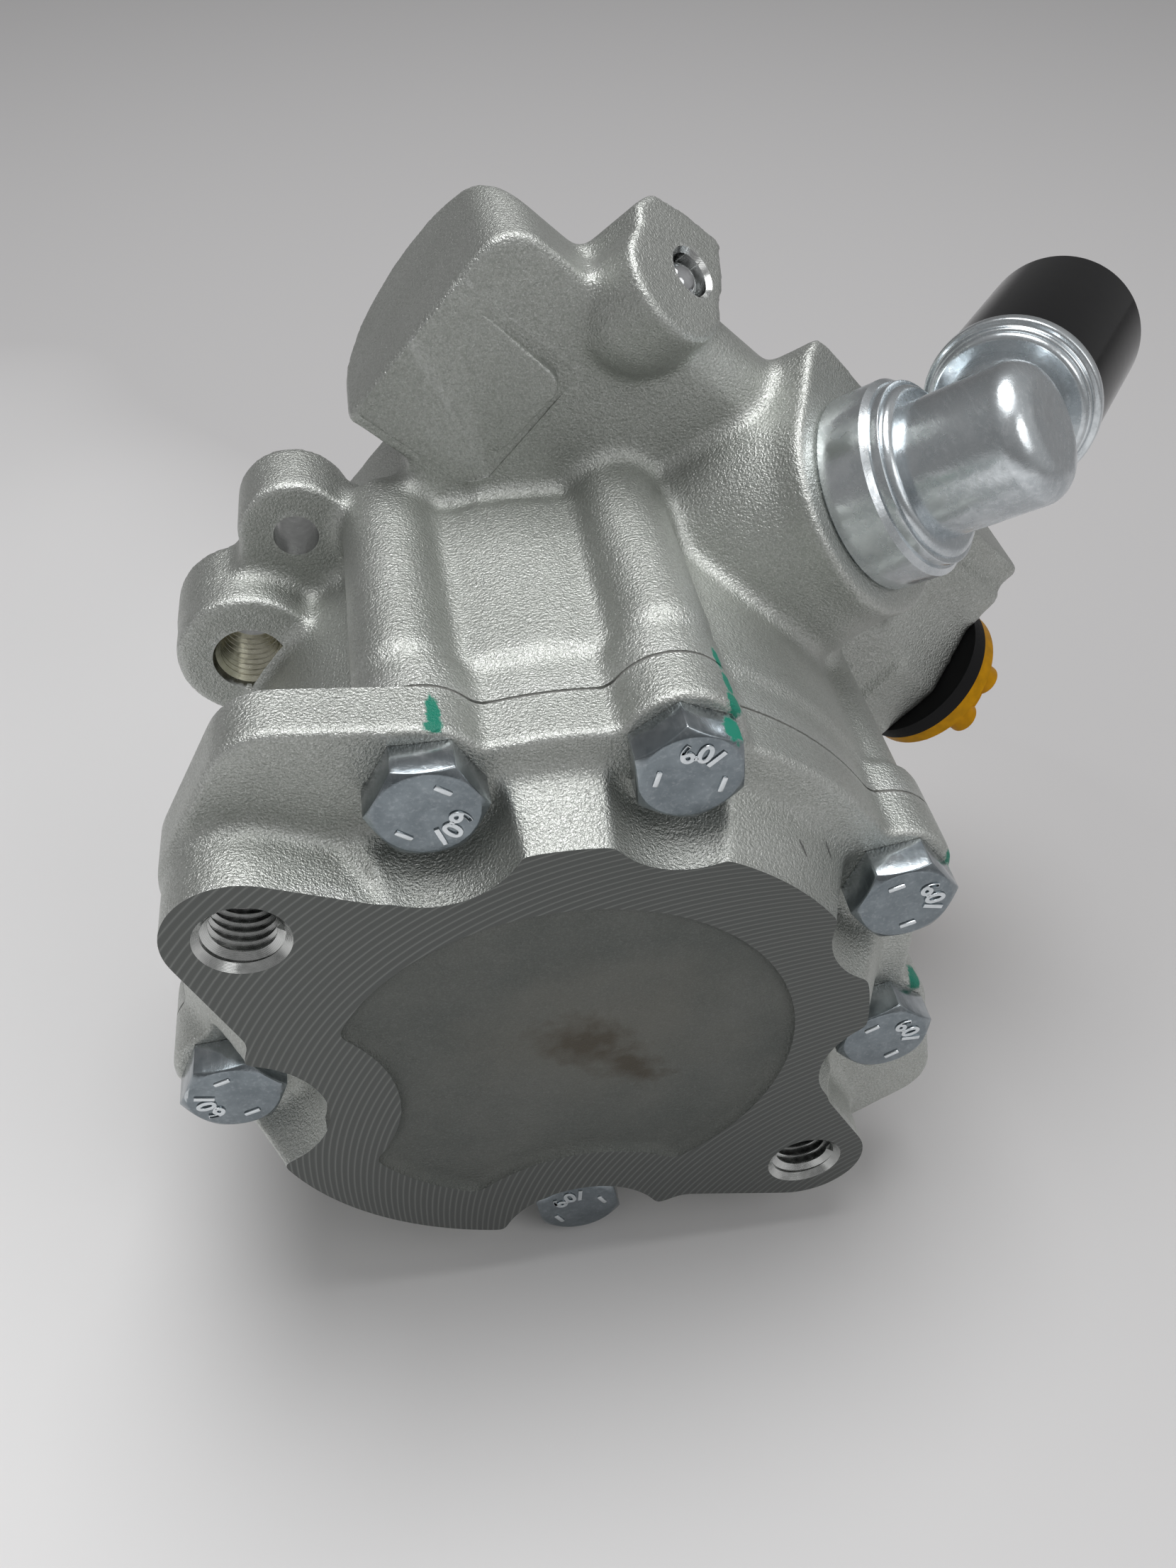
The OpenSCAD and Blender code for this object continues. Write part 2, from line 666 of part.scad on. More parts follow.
module rear_pressure_plate() color("silver") lying() difference() {
    drum(stack_start, cam_start, cavity_r - 0.1);
    drum(stack_start - cut, cam_start + cut, plate_hole_r);
    for (spot = dowel_spots) translate(spot) drum(stack_start - cut, cam_start + cut, dowel_r + slip);
    // Two feed ports opposite each other
    for (turn = port_turns) rotate(turn) translate([port_pitch_r, 0])
        drum(stack_start - cut, cam_start + cut, port_r);
}

// Cam bore: two rises and two falls each turn, following a squared sine
function cam_r(turn) = cam_short_r + cam_lift * pow(sin(turn), 2);
module cam_ring() color("dimgray") lying() difference() {
    drum(cam_start, cam_end, cam_outer_r);
    slab(cam_start - cut, cam_end + cut)
        polygon([for (turn = [0:3:357]) cam_r(turn) * heading(turn)]);
    for (spot = dowel_spots) translate(spot) drum(cam_start - cut, cam_end + cut, dowel_r + slip);
}

module rotor() color("gray") lying() difference() {
    drum(cam_start + slip, cam_end - slip, rotor_r);
    drum(cam_start - cut, cam_end + cut, shaft_r);
    for (index = [0:vane_count - 1]) rotate(360 / vane_count * index) {
        slab(cam_start - cut, cam_end + cut)
            translate([slot_root_r, -vane_thick / 2 - slip]) square([rotor_r, vane_thick + 2 * slip]);
    }
}

module vane(index) color("silver") lying() rotate(360 / vane_count * (index - 1))
    slab(cam_start + 0.1, cam_end - 0.1)
        translate([vane_tip_r - vane_length, -vane_thick / 2]) square([vane_length, vane_thick]);

module front_side_plate() color("silver") lying() difference() {
    drum(cam_end, cavity_end, cavity_r - 0.1);
    drum(cam_end - cut, cavity_end + cut, plate_hole_r);
    for (spot = dowel_spots) translate(spot) drum(cam_end - cut, cavity_end + cut, dowel_r + slip);
    for (turn = port_turns) rotate(turn) translate([port_pitch_r, 0])
        drum(cam_end - cut, cavity_end + cut, port_r);
}

module dowel_pins() color("lightgray") lying() for (spot = dowel_spots) translate(spot)
    drum(stack_start + 1, cavity_end + 4.5, dowel_r);

module shaft() color("lightgray") lying() {
    drum(shaft_start, shaft_end - 1, shaft_r);
    taper(shaft_end - 1, shaft_end, shaft_r, shaft_r - 1);
}

module shaft_seal() color("black") lying() difference() {
    drum(seal_start, seal_start + seal_thick, seal_r - slip);
    drum(seal_start - cut, seal_start + 2, shaft_r + 3);
    taper(seal_start + 2, seal_start + 4, shaft_r + 3, shaft_r + slip);
    drum(seal_start + 2, seal_start + seal_thick + cut, shaft_r + slip);
}

// Groove shared by the two bearing races
module ball_track() translate([0, 0, -bearing_middle])
    rotate_extrude() translate([ball_pitch_r, 0]) circle(r = bearing_ball_r + slip);

module bearing_outer_race() color("lightgray") lying() difference() {
    collar_ring(bearing_start, bearing_start + bearing_thick, bearing_r - slip, bearing_r - race_step);
    ball_track();
}

module bearing_inner_race() color("lightgray") lying() difference() {
    collar_ring(bearing_start, bearing_start + bearing_thick, shaft_r + race_step, shaft_r);
    ball_track();
}

module bearing_balls() color("white") lying() for (index = [0:bearing_ball_count - 1])
    rotate(360 / bearing_ball_count * index) translate([ball_pitch_r, 0, -bearing_middle])
        sphere(r = bearing_ball_r);

module bearing_cage() color("peru") lying() difference() {
    collar_ring(bearing_start + cage_inset, bearing_start + bearing_thick - cage_inset,
                ball_pitch_r + cage_wall / 2, ball_pitch_r - cage_wall / 2);
    for (index = [0:bearing_ball_count - 1]) rotate(360 / bearing_ball_count * index)
        translate([ball_pitch_r - cage_wall, 0, -bearing_middle]) rotate([0, 90, 0])
            cylinder(h = 2 * cage_wall, r = bearing_ball_r + slip);
}

module bearing_circlip() color("dimgray") lying()
    slab(circlip_start, circlip_start + circlip_thick) difference() {
    circle(r = bearing_r + 1.3);
    circle(r = bearing_r - 1.6);
    translate([0, bearing_r]) square(circlip_gap, center = true);
}

module drive_hub() color("lightgray") lying() difference() {
    union() {
        drum(hub_start, hub_end, pilot_r);
        taper(hub_flange_start, hub_flange_start + 1, hub_r - 1, hub_r);
        drum(hub_flange_start + 1, hub_end, hub_r);
        drum(hub_end, hub_end + pilot_length, pilot_r);
    }
    drum(hub_start - cut, hub_end + pilot_length + cut, shaft_r);
    for (turn = [90, 210, 330]) rotate(turn) translate([hub_pitch_r, 0])
        drum(hub_flange_start - cut, hub_end + cut, bolt_r);
}

housing();
rear_cover();
cover_gasket();
cover_o_ring();
cover_bolts();
ball_plug();
suction_collar();
suction_o_ring();
suction_elbow();
suction_nipple();
suction_cap();
outlet_union();
outlet_seal();
outlet_cap();
control_spool();
spool_spring();
rear_bush();
plate_spring();
rear_pressure_plate();
cam_ring();
rotor();
front_side_plate();
dowel_pins();
shaft();
shaft_seal();
bearing_outer_race();
bearing_inner_race();
bearing_balls();
bearing_cage();
bearing_circlip();
drive_hub();
vane(1);  // vane_1
vane(2);  // vane_2
vane(3);  // vane_3
vane(4);  // vane_4
vane(5);  // vane_5
vane(6);  // vane_6
vane(7);  // vane_7
vane(8);  // vane_8
vane(9);  // vane_9
vane(10);  // vane_10
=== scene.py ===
# %% [markdown]
# A power steering pump lies on a pale bench with its rear cover towards us.
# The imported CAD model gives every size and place. Here each piece gets the look of the real one:
# shot-blasted castings with soft fillets, a milled face, zinc-plated bolts and fittings, plastic caps.
# The CAD pieces are loaded first and their box is kept, because the dressed pump has to match it.

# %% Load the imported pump
import math
import bpy
from mathutils import Matrix, Vector


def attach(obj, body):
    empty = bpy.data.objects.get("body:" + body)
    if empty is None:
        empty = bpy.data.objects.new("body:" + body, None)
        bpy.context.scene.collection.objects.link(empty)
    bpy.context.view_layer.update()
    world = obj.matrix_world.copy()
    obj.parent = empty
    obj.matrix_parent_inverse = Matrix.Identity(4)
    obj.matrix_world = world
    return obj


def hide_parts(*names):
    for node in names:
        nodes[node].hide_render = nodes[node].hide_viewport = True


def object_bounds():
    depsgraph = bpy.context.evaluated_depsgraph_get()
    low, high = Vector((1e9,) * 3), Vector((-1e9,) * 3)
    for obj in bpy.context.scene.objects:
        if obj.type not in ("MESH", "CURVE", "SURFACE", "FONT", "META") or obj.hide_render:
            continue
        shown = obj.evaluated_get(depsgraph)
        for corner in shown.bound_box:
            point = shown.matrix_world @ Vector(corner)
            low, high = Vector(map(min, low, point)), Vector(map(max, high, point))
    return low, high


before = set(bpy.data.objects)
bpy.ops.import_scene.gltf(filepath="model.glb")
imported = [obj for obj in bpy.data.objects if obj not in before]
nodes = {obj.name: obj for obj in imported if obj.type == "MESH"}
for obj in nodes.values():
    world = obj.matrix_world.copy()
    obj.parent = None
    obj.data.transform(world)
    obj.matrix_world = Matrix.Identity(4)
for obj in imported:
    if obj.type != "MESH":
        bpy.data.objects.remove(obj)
cad_low, cad_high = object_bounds()
MM = 0.001
print("loaded", len(nodes), "CAD pieces; box", [round(v / MM, 1) for v in cad_high - cad_low], "mm")

# %% [markdown]
# The pump was drawn on its own axes: across, up and depth from the milled rear face along the shaft.
# It lies turned about its shaft, so one small function takes a place on those axes to Blender's.
# Working on the pump's own axes keeps every later number readable: the bolts are then mirror pairs.

# %% The pump's own axes
LIE = math.radians(42.1)


def spot(across, up, depth):
    """A place on the pump's own axes, in mm, as a point in Blender's metres."""
    return Vector((across * math.cos(LIE) + up * math.sin(LIE), depth,
                   up * math.cos(LIE) - across * math.sin(LIE))) * MM


def way(across, up, depth):
    """A direction on the pump's own axes, as a unit vector."""
    return spot(across, up, depth).normalized()


RIM_RISE = 3.5


def rim_spot(reach, turn):
    """Across and up of a place at a distance from the rim's middle, turned by degrees from straight up."""
    return reach * math.sin(math.radians(turn)), RIM_RISE + reach * math.cos(math.radians(turn))


BOLT_CIRCLE, BOLT_TURNS = 48.4, [-25.6, 25.6, -63, 63, -138, 138]
BOLT_SPOTS = [rim_spot(BOLT_CIRCLE, turn) for turn in BOLT_TURNS]
MOUNT_HOLES = [(-51.4, 0), (51.4, 0)]
EAR_HOLE, STUD_HOLE = (-55.4, 17.9), MOUNT_HOLES[0]
COVER_FACE, HOUSING_FACE = 17.3, 17.8
VALVE_RISE, VALVE_DEPTH = 54, 71.5
SUCTION_FACE = spot(4.4, 75.4, 54.6)
SUCTION_WAY = way(0.0945, 0.8844, -0.4571)
BRANCH_FOOT = SUCTION_FACE + SUCTION_WAY * 16.8 * MM
BRANCH_WAY = way(0.4917, 0.3578, 0.7939)
BALL_FACE = spot(-35, 80.4, 65)
BALL_WAY = way(0, 0.9135, -0.4067)
print("first bolt at", [round(v / MM, 1) for v in spot(*BOLT_SPOTS[0], 9.3)])

# %% [markdown]
# The camera stands where the photographer stood: in front of the cover, a little to its left, and well above.
# Its lens and place were worked out from the known sizes of the bolt heads and tapped holes.
# A camera turned by a matrix of its right, up and backward directions needs no guessing of angles.

# %% Camera
PICTURE_WIDE, PICTURE_TALL, FOCAL = 1659, 2212, 1900
camera_data = bpy.data.cameras.new("photo_camera")
camera_data.sensor_width = 36
camera_data.lens = camera_data.sensor_width * FOCAL / PICTURE_TALL
camera = bpy.data.objects.new("photo_camera", camera_data)
bpy.context.scene.collection.objects.link(camera)
right = Vector((0.987, -0.1616, 0))
up = Vector((0.1112, 0.6792, 0.7256))
back = Vector((-0.1172, -0.716, 0.6882))
turned = Matrix((right, up, back)).transposed().to_4x4()
camera.matrix_world = Matrix.Translation(Vector((-14.47, -107.56, 157.11)) * MM) @ turned
camera_data.clip_start = 0.005
bpy.context.scene.camera = camera
bpy.context.scene.view_settings.view_transform = "Standard"
print("camera lens", round(camera_data.lens, 2), "mm")

# %% [markdown]
# Operators act on whatever is selected, and loading leaves the CAD pieces selected.
# So each step first lets go of everything and then picks the one piece it works on.
# The same few moves come back all through the lesson: pick, edit, apply a modifier, make a round bar.

# %% Small helpers for the bench
def let_go():
    if bpy.context.mode != "OBJECT":
        bpy.ops.object.mode_set(mode="OBJECT")
    bpy.ops.object.select_all(action="DESELECT")


def pick(*pieces):
    let_go()
    for piece in pieces:
        piece.select_set(True)
    bpy.context.view_layer.objects.active = pieces[0]


def edit_all(piece, mode="FACE"):
    pick(piece)
    bpy.ops.object.mode_set(mode="EDIT")
    bpy.ops.mesh.select_mode(type=mode)
    bpy.ops.mesh.select_all(action="SELECT")


def select_faces(piece, wanted):
    """Edit mode with only the faces selected for which wanted(face) is true."""
    edit_all(piece)
    bpy.ops.mesh.select_all(action="DESELECT")
    bpy.ops.object.mode_set(mode="OBJECT")
    for face in piece.data.polygons:
        face.select = wanted(face)
    bpy.ops.object.mode_set(mode="EDIT")


def apply(piece, kind, **settings):
    """Adds one modifier with its settings and applies it."""
    pick(piece)
    step = piece.modifiers.new(kind.lower(), kind)
    for name, value in settings.items():
        setattr(step, name, value)
    bpy.ops.object.modifier_apply(modifier=step.name)


def bar(start, end, radius, far_radius=None, name="bar"):
    """A round bar or cone from one point to another, radii in mm."""
    let_go()
    along = end - start
    bpy.ops.mesh.primitive_cone_add(vertices=96, radius1=radius * MM,
                                    radius2=(radius if far_radius is None else far_radius) * MM,
                                    depth=along.length, location=(start + end) / 2,
                                    rotation=along.to_track_quat("Z", "Y").to_euler())
    piece = bpy.context.object
    piece.name = name
    bpy.ops.object.transform_apply(location=True, rotation=True, scale=True)
    return piece


def cad_copy(node, name):
    """A copy of a CAD piece with its doubled points merged, so that it can be worked on."""
    piece = bpy.data.objects.new(name, nodes[node].data.copy())
    bpy.context.scene.collection.objects.link(piece)
    piece.data.materials.clear()
    pick(piece)
    bpy.ops.mesh.customdata_custom_splitnormals_clear()
    edit_all(piece)
    bpy.ops.mesh.remove_doubles(threshold=0.000004)
    bpy.ops.object.mode_set(mode="OBJECT")
    return piece


def join(piece, others):
    pick(piece, *others)
    bpy.ops.object.join()
    return piece


def machine(piece, tools):
    """Cuts each tool's shape out of the piece and puts the tool away."""
    for tool in tools:
        apply(piece, "BOOLEAN", operation="DIFFERENCE", solver="MANIFOLD", object=tool)
        bpy.data.objects.remove(tool)


def triangles(piece):
    return sum(len(face.vertices) - 2 for face in piece.data.polygons)


print("helpers ready")

# %% [markdown]
# A casting is made in two steps, and so is its model. First comes the rough blank: every edge is soft,
# because molten metal can't fill a sharp corner. Then the machine shop cuts the joint faces and bores sharp.
# Bevels on this many crossing bosses would break, so the blank is a copy of the CAD piece with its bores
# plugged, fused by a voxel remesh. Swelling and shrinking it by the same amount fills the inner corners with
# fillets, as a ball rolled along them would, and a few smoothing passes round the outer edges.

# %% Rough blank of a casting
def raise_face(piece, depth, facing, height):
    """Extrudes the flat faces at one depth, so that the cut that follows leaves a sharp edge."""
    select_faces(piece, lambda face: abs(face.center.y - depth * MM) < 0.00002 and face.normal.y * facing > 0.99)
    bpy.ops.mesh.extrude_region_move(TRANSFORM_OT_translate={"value": (0, height * facing * MM, 0)})
    bpy.ops.object.mode_set(mode="OBJECT")


def soften(piece, voxel, fillet, passes, most):
    """Fuses the parts of a blank, fills its inner corners, rounds its edges and thins its faces."""
    apply(piece, "REMESH", mode="VOXEL", voxel_size=voxel * MM, use_smooth_shade=True)
    for swell in (fillet, -fillet):
        apply(piece, "DISPLACE", strength=swell * MM, mid_level=0)
        apply(piece, "REMESH", mode="VOXEL", voxel_size=voxel * MM, use_smooth_shade=True)
    apply(piece, "SMOOTH", factor=0.5, iterations=passes)
    count = triangles(piece)
    if count > most:
        apply(piece, "DECIMATE", ratio=most / count)
    print(piece.name, "blank:", count, "triangles, thinned to", triangles(piece))


def straight(across, up, near, far, radius, far_radius=None):
    """A bar along the shaft's direction between two depths."""
    return bar(spot(across, up, near), spot(across, up, far), radius, far_radius)


def valve_bar(left, end, radius):
    """A bar on the axis of the valve bore, which runs across the pump."""
    return bar(spot(left, VALVE_RISE, VALVE_DEPTH), spot(end, VALVE_RISE, VALVE_DEPTH), radius)


def port_bar(face, along, near, far, radius, far_radius=None, name="bar"):
    """A bar on the axis of a port, between two heights over the port's face."""
    return bar(face + along * near * MM, face + along * far * MM, radius, far_radius, name)


def pump_block(low, high):
    """A rectangular block between two corners on the pump's own axes, in mm."""
    let_go()
    low, high = Vector(low), Vector(high)
    bpy.ops.mesh.primitive_cube_add(size=1, location=spot(*((low + high) / 2)), rotation=(0, LIE, 0))
    block = bpy.context.object
    block.scale = ((high.x - low.x) * MM, (high.z - low.z) * MM, (high.y - low.y) * MM)
    bpy.ops.object.transform_apply(location=True, rotation=True, scale=True)
    return block


# %% [markdown]
# The housing's rim is set back from the wall behind it: the photo shows a slanted step there that shines right
# across the top, on the wall and on two bolt columns. Cones make the step, bars carry the wall and the columns on,
# and a block trims the wall to its upper part. The back of the upper ear is a bar too, as deep as the photo shows.

# %% Housing blank
STEP_START, STEP_END, STEP_HEIGHT = 24.6, 25.3, 0.9
WALL_RADIUS, WALL_DRAFT, WALL_END = 51.3, 0.6, 59
COLUMN_RADIUS, COLUMN_REACH = 6.9, 50.7
DOWEL_CIRCLE, DOWEL_TURN = 31.5, math.radians(40)


def upper_part(piece):
    """Leaves only the part of a bar that lies above the side bolts."""
    machine(piece, [pump_block((-90, -90, 0), (90, 25.5, 100))])
    return piece


housing = cad_copy("housing", "housing_casting")
raise_face(housing, HOUSING_FACE, -1, 4)
plugs = [straight(0, 0, 13.8, 57, 38.4), straight(0, 0, 56, 86, 20.3), straight(0, 0, 79, 82, 21.8)]
plugs += [straight(*place, 13.8, 48, 4.3) for place in BOLT_SPOTS]
plugs += [valve_bar(-41, 50, 7.6), valve_bar(33.5, 50, 8.5)]
plugs += [port_bar(SUCTION_FACE, SUCTION_WAY, -24, 0, 10.9), port_bar(BALL_FACE, BALL_WAY, -23, 0, 3.5)]
wall_back = WALL_RADIUS + WALL_DRAFT
for near, far, first, last in ((STEP_START, STEP_END, WALL_RADIUS - STEP_HEIGHT, WALL_RADIUS),
                               (STEP_END, WALL_END, WALL_RADIUS, wall_back), (WALL_END, 66, wall_back, 40)):
    plugs.append(upper_part(straight(0, RIM_RISE, near, far, first, last)))
for turn in (BOLT_TURNS[0], BOLT_TURNS[2]):
    middle = rim_spot(COLUMN_REACH, turn)
    plugs += [straight(*middle, STEP_START, STEP_END, COLUMN_RADIUS - STEP_HEIGHT, COLUMN_RADIUS),
              straight(*middle, STEP_END, 65, COLUMN_RADIUS)]
plugs += [straight(*EAR_HOLE, 62, 72, 8.2), straight(*EAR_HOLE, 61, 69, 3.5), straight(*STUD_HOLE, 54.2, 69, 5.9)]
plugs += [straight(DOWEL_CIRCLE * math.sin(DOWEL_TURN) * side, DOWEL_CIRCLE * math.cos(DOWEL_TURN) * side, 56, 62, 2.8)
          for side in (-1, 1)]
join(housing, plugs)
soften(housing, 0.6, 1.15, 4, 180000)

# %% [markdown]
# A thin pad stands on the front of the valve block, and its edge is crisp in the photo because the mould is
# parted there. It is thinner than the softening leaves standing, so what is left of it is cut away and the pad
# is made as a block of its own: its right-hand corners are rounded, it leans until its lower end sinks into the
# casting, and it is fused with the housing.

# %% Pad on the valve block
old_pad = pump_block((-70, 38.2, 56), (-38.8, 61.2, 62))
machine(old_pad, [straight(0, RIM_RISE, 50, 70, 54.3)])
machine(housing, [old_pad])
pad = pump_block((-60.1, 44, 61.1), (-40, 59.4, 64))
edit_all(pad, "EDGE")
bpy.ops.mesh.select_all(action="DESELECT")
bpy.ops.object.mode_set(mode="OBJECT")
points = pad.data.vertices
for edge in pad.data.edges:
    first, last = (points[index].co for index in edge.vertices)
    run = last - first
    edge.select = abs(run.y) > 0.9 * run.length and first.dot(way(1, 0, 0)) > -50 * MM
bpy.ops.object.mode_set(mode="EDIT")
bpy.ops.mesh.bevel(offset=3 * MM, segments=8)
bpy.ops.mesh.select_all(action="SELECT")
lean_axes = Matrix((way(0, 0, 1), way(0, 1, 0), way(1, 0, 0))).transposed()
bpy.ops.transform.rotate(value=math.radians(11), orient_axis="Z", center_override=spot(-49, 59.4, 61.1),
                         orient_matrix=lean_axes, orient_matrix_type="LOCAL")
bpy.ops.object.mode_set(mode="OBJECT")
apply(pad, "BEVEL", width=0.4 * MM, segments=3, limit_method="ANGLE", angle_limit=math.radians(50))
apply(housing, "BOOLEAN", operation="UNION", solver="MANIFOLD", object=pad)
bpy.data.objects.remove(pad)
print("housing with pad:", triangles(housing), "triangles")

# %% [markdown]
# Now the machine shop: the joint face is cut flat, the chamber and the bearing seat are bored,
# and the holes are drilled. Each tool is a plain bar or block that is cut away from the blank.
# A cut leaves a true sharp edge between the soft casting and the bright bore, as on the real housing.

# %% Housing machined
def block_tool(low, high):
    """A rectangular cutter between two corners, in mm on Blender's axes."""
    let_go()
    low, high = Vector(low) * MM, Vector(high) * MM
    bpy.ops.mesh.primitive_cube_add(size=1, location=(low + high) / 2)
    tool = bpy.context.object
    tool.scale = high - low
    bpy.ops.object.transform_apply(location=True, rotation=True, scale=True)
    return tool


machine(housing, [block_tool((-100, -20, -100), (120, HOUSING_FACE, 120)), straight(0, 0, 10, 56.8, 38),
                  straight(0, 0, 50, 90, 9.5), straight(0, 0, 59.8, 70, 15), straight(0, 0, 67.6, 90, 20),
                  straight(0, 0, 79.65, 81.35, 21.4)])
machine(housing, [straight(*place, 10, 47.3, 4.05) for place in BOLT_SPOTS])
machine(housing, [valve_bar(-40, 60, 7.3), valve_bar(34, 60, 8.2)])
machine(housing, [port_bar(SUCTION_FACE, SUCTION_WAY, -12, 4, 10.6), port_bar(SUCTION_FACE, SUCTION_WAY, -24, 0, 6)])
machine(housing, [port_bar(BALL_FACE, BALL_WAY, -22, 3, 3.2), port_bar(BALL_FACE, BALL_WAY, -0.6, 0.6, 3.2, 4.4)])
machine(housing, [straight(*EAR_HOLE, 55, 75, 3.2), straight(*STUD_HOLE, 53.7, 75, 5),
                  straight(*STUD_HOLE, 55, 53.7, 4.9, 5.6)])
pick(housing)
bpy.ops.object.shade_smooth_by_angle(angle=math.radians(38))
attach(housing, "pump_body")
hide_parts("housing")
print("housing:", triangles(housing), "triangles")

# %% [markdown]
# The rear cover is a casting too. Its big rear face is milled, so the blank stands 3 mm proud there
# and is then cut back to the true face. The joint side is cut the same way around its round spigot.

# %% Rear cover
cover = cad_copy("rear_cover", "rear_cover_casting")
raise_face(cover, 0, -1, 3)
raise_face(cover, COVER_FACE, 1, 4)
plugs = [straight(*hole, -3, 15.3, 5.3) for hole in MOUNT_HOLES]
plugs += [straight(*place, 9.3, 21.3, 4.6) for place in BOLT_SPOTS]
join(cover, plugs)
soften(cover, 0.55, 1.15, 5, 160000)
spigot_ring = straight(0, 0, COVER_FACE, 30, 90)
machine(spigot_ring, [straight(0, 0, 10, 40, 37.95)])
machine(cover, [block_tool((-100, -20, -100), (100, 0, 100)), spigot_ring])
machine(cover, [straight(*place, -5, 30, 4.3) for place in BOLT_SPOTS])
machine(cover, [straight(*hole, -5, 15, 5) for hole in MOUNT_HOLES])
machine(cover, [straight(*hole, 0.95, -0.5, 4.95, 6.4) for hole in MOUNT_HOLES])
pick(cover)
bpy.ops.object.shade_smooth_by_angle(angle=math.radians(38))
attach(cover, "pump_body")
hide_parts("rear_cover")
print("cover:", triangles(cover), "triangles")

# %% [markdown]
# The finishes are node materials with no pictures. A small helper adds a node and joins its inputs by name,
# so that each recipe below reads like a list. Patterns are placed by Object coordinates: the pieces sit at
# the origin at true size, so a scale of 2500 means grains of 0.4 mm.

# %% Node helpers
def add(tree, kind, inputs=None, **settings):
    node = tree.nodes.new("ShaderNode" + kind)
    for name, value in settings.items():
        setattr(node, name, value)
    for name, value in (inputs or {}).items():
        if isinstance(value, bpy.types.NodeSocket):
            tree.links.new(value, node.inputs[name])
        else:
            node.inputs[name].default_value = value
    return node


def math_node(tree, operation, first, second=0.0, third=0.0):
    return add(tree, "Math", {0: first, 1: second, 2: third}, operation=operation).outputs[0]


def ramp(tree, value, stops):
    """A colour ramp of greys or colours: stops are (place, value) pairs."""
    node = add(tree, "ValToRGB", {"Fac": value})
    node.color_ramp.elements.remove(node.color_ramp.elements[1])
    for index, (place, shade) in enumerate(stops):
        element = node.color_ramp.elements[0] if index == 0 else node.color_ramp.elements.new(place)
        element.position = place
        element.color = (*shade, 1) if isinstance(shade, tuple) else (shade, shade, shade, 1)
    return node.outputs["Color"]


def blend_colour(tree, factor, first, second, blend_type="MIX"):
    node = add(tree, "Mix", data_type="RGBA", blend_type=blend_type)
    for index, value in ((0, factor), (6, first), (7, second)):
        if isinstance(value, bpy.types.NodeSocket):
            tree.links.new(value, node.inputs[index])
        elif index == 0:
            node.inputs[index].default_value = value
        else:
            node.inputs[index].default_value = (*value, 1)
    return node.outputs[2]


def new_group(name, inputs, outputs):
    """An empty shader group with named float inputs and outputs."""
    group = bpy.data.node_groups.new(name, "ShaderNodeTree")
    for socket, value in inputs.items():
        group.interface.new_socket(name=socket, in_out="INPUT", socket_type="NodeSocketFloat").default_value = value
    for socket in outputs:
        group.interface.new_socket(name=socket, in_out="OUTPUT", socket_type="NodeSocketFloat")
    return group, group.nodes.new("NodeGroupInput"), group.nodes.new("NodeGroupOutput")


def place_group(tree, group, **values):
    node = tree.nodes.new("ShaderNodeGroup")
    node.node_tree = group
    for name, value in values.items():
        node.inputs[name].default_value = value
    return node


def new_finish(name, metallic, specular=0.5):
    """A material with its Principled shader, its Object coordinates and its tree."""
    finish = bpy.data.materials.new(name)
    finish.use_nodes = True
    tree = finish.node_tree
    shader = tree.nodes["Principled BSDF"]
    shader.inputs["Metallic"].default_value = metallic
    shader.inputs["Specular IOR Level"].default_value = specular
    return finish, tree, shader, tree.nodes.new("ShaderNodeTexCoord").outputs["Object"]


def dress(piece, finish):
    """Gives a piece one finish all over."""
    piece.data.materials.clear()
    piece.data.materials.append(finish)
    for face in piece.data.polygons:
        face.material_index = 0


print("node helpers ready")

# %% [markdown]
# Shot blasting leaves a skin of tiny dimples, some of which face the light and sparkle. Three noises at
# three sizes give it: dimples for the bump, a sharp fine noise for the sparkle, and broad clouds for the
# uneven tone that every casting has. It is a group, because both castings use it.

# %% Group: cast skin
cast_skin, inside, outside = new_group("cast_skin", {"Grain": 2700.0}, ["Height", "Sparkle", "Cloud"])
place = add(cast_skin, "TexCoord").outputs["Object"]
grain = inside.outputs["Grain"]
dimples = add(cast_skin, "TexNoise", {"Vector": place, "Scale": grain, "Detail": 2.0, "Roughness": 0.65})
finer = math_node(cast_skin, "MULTIPLY", grain, 1.7)
glints = add(cast_skin, "TexNoise", {"Vector": place, "Scale": finer, "Detail": 2.0, "Roughness": 0.7})
sparkle = ramp(cast_skin, glints.outputs["Fac"], [(0.48, 0.0), (0.72, 1.0)])
clouds = add(cast_skin, "TexNoise", {"Vector": place, "Scale": 70.0, "Detail": 4.0, "Roughness": 0.6})
for socket, value in (("Height", dimples.outputs["Fac"]), ("Sparkle", sparkle), ("Cloud", clouds.outputs["Fac"])):
    cast_skin.links.new(value, outside.inputs[socket])
print("group", cast_skin.name)
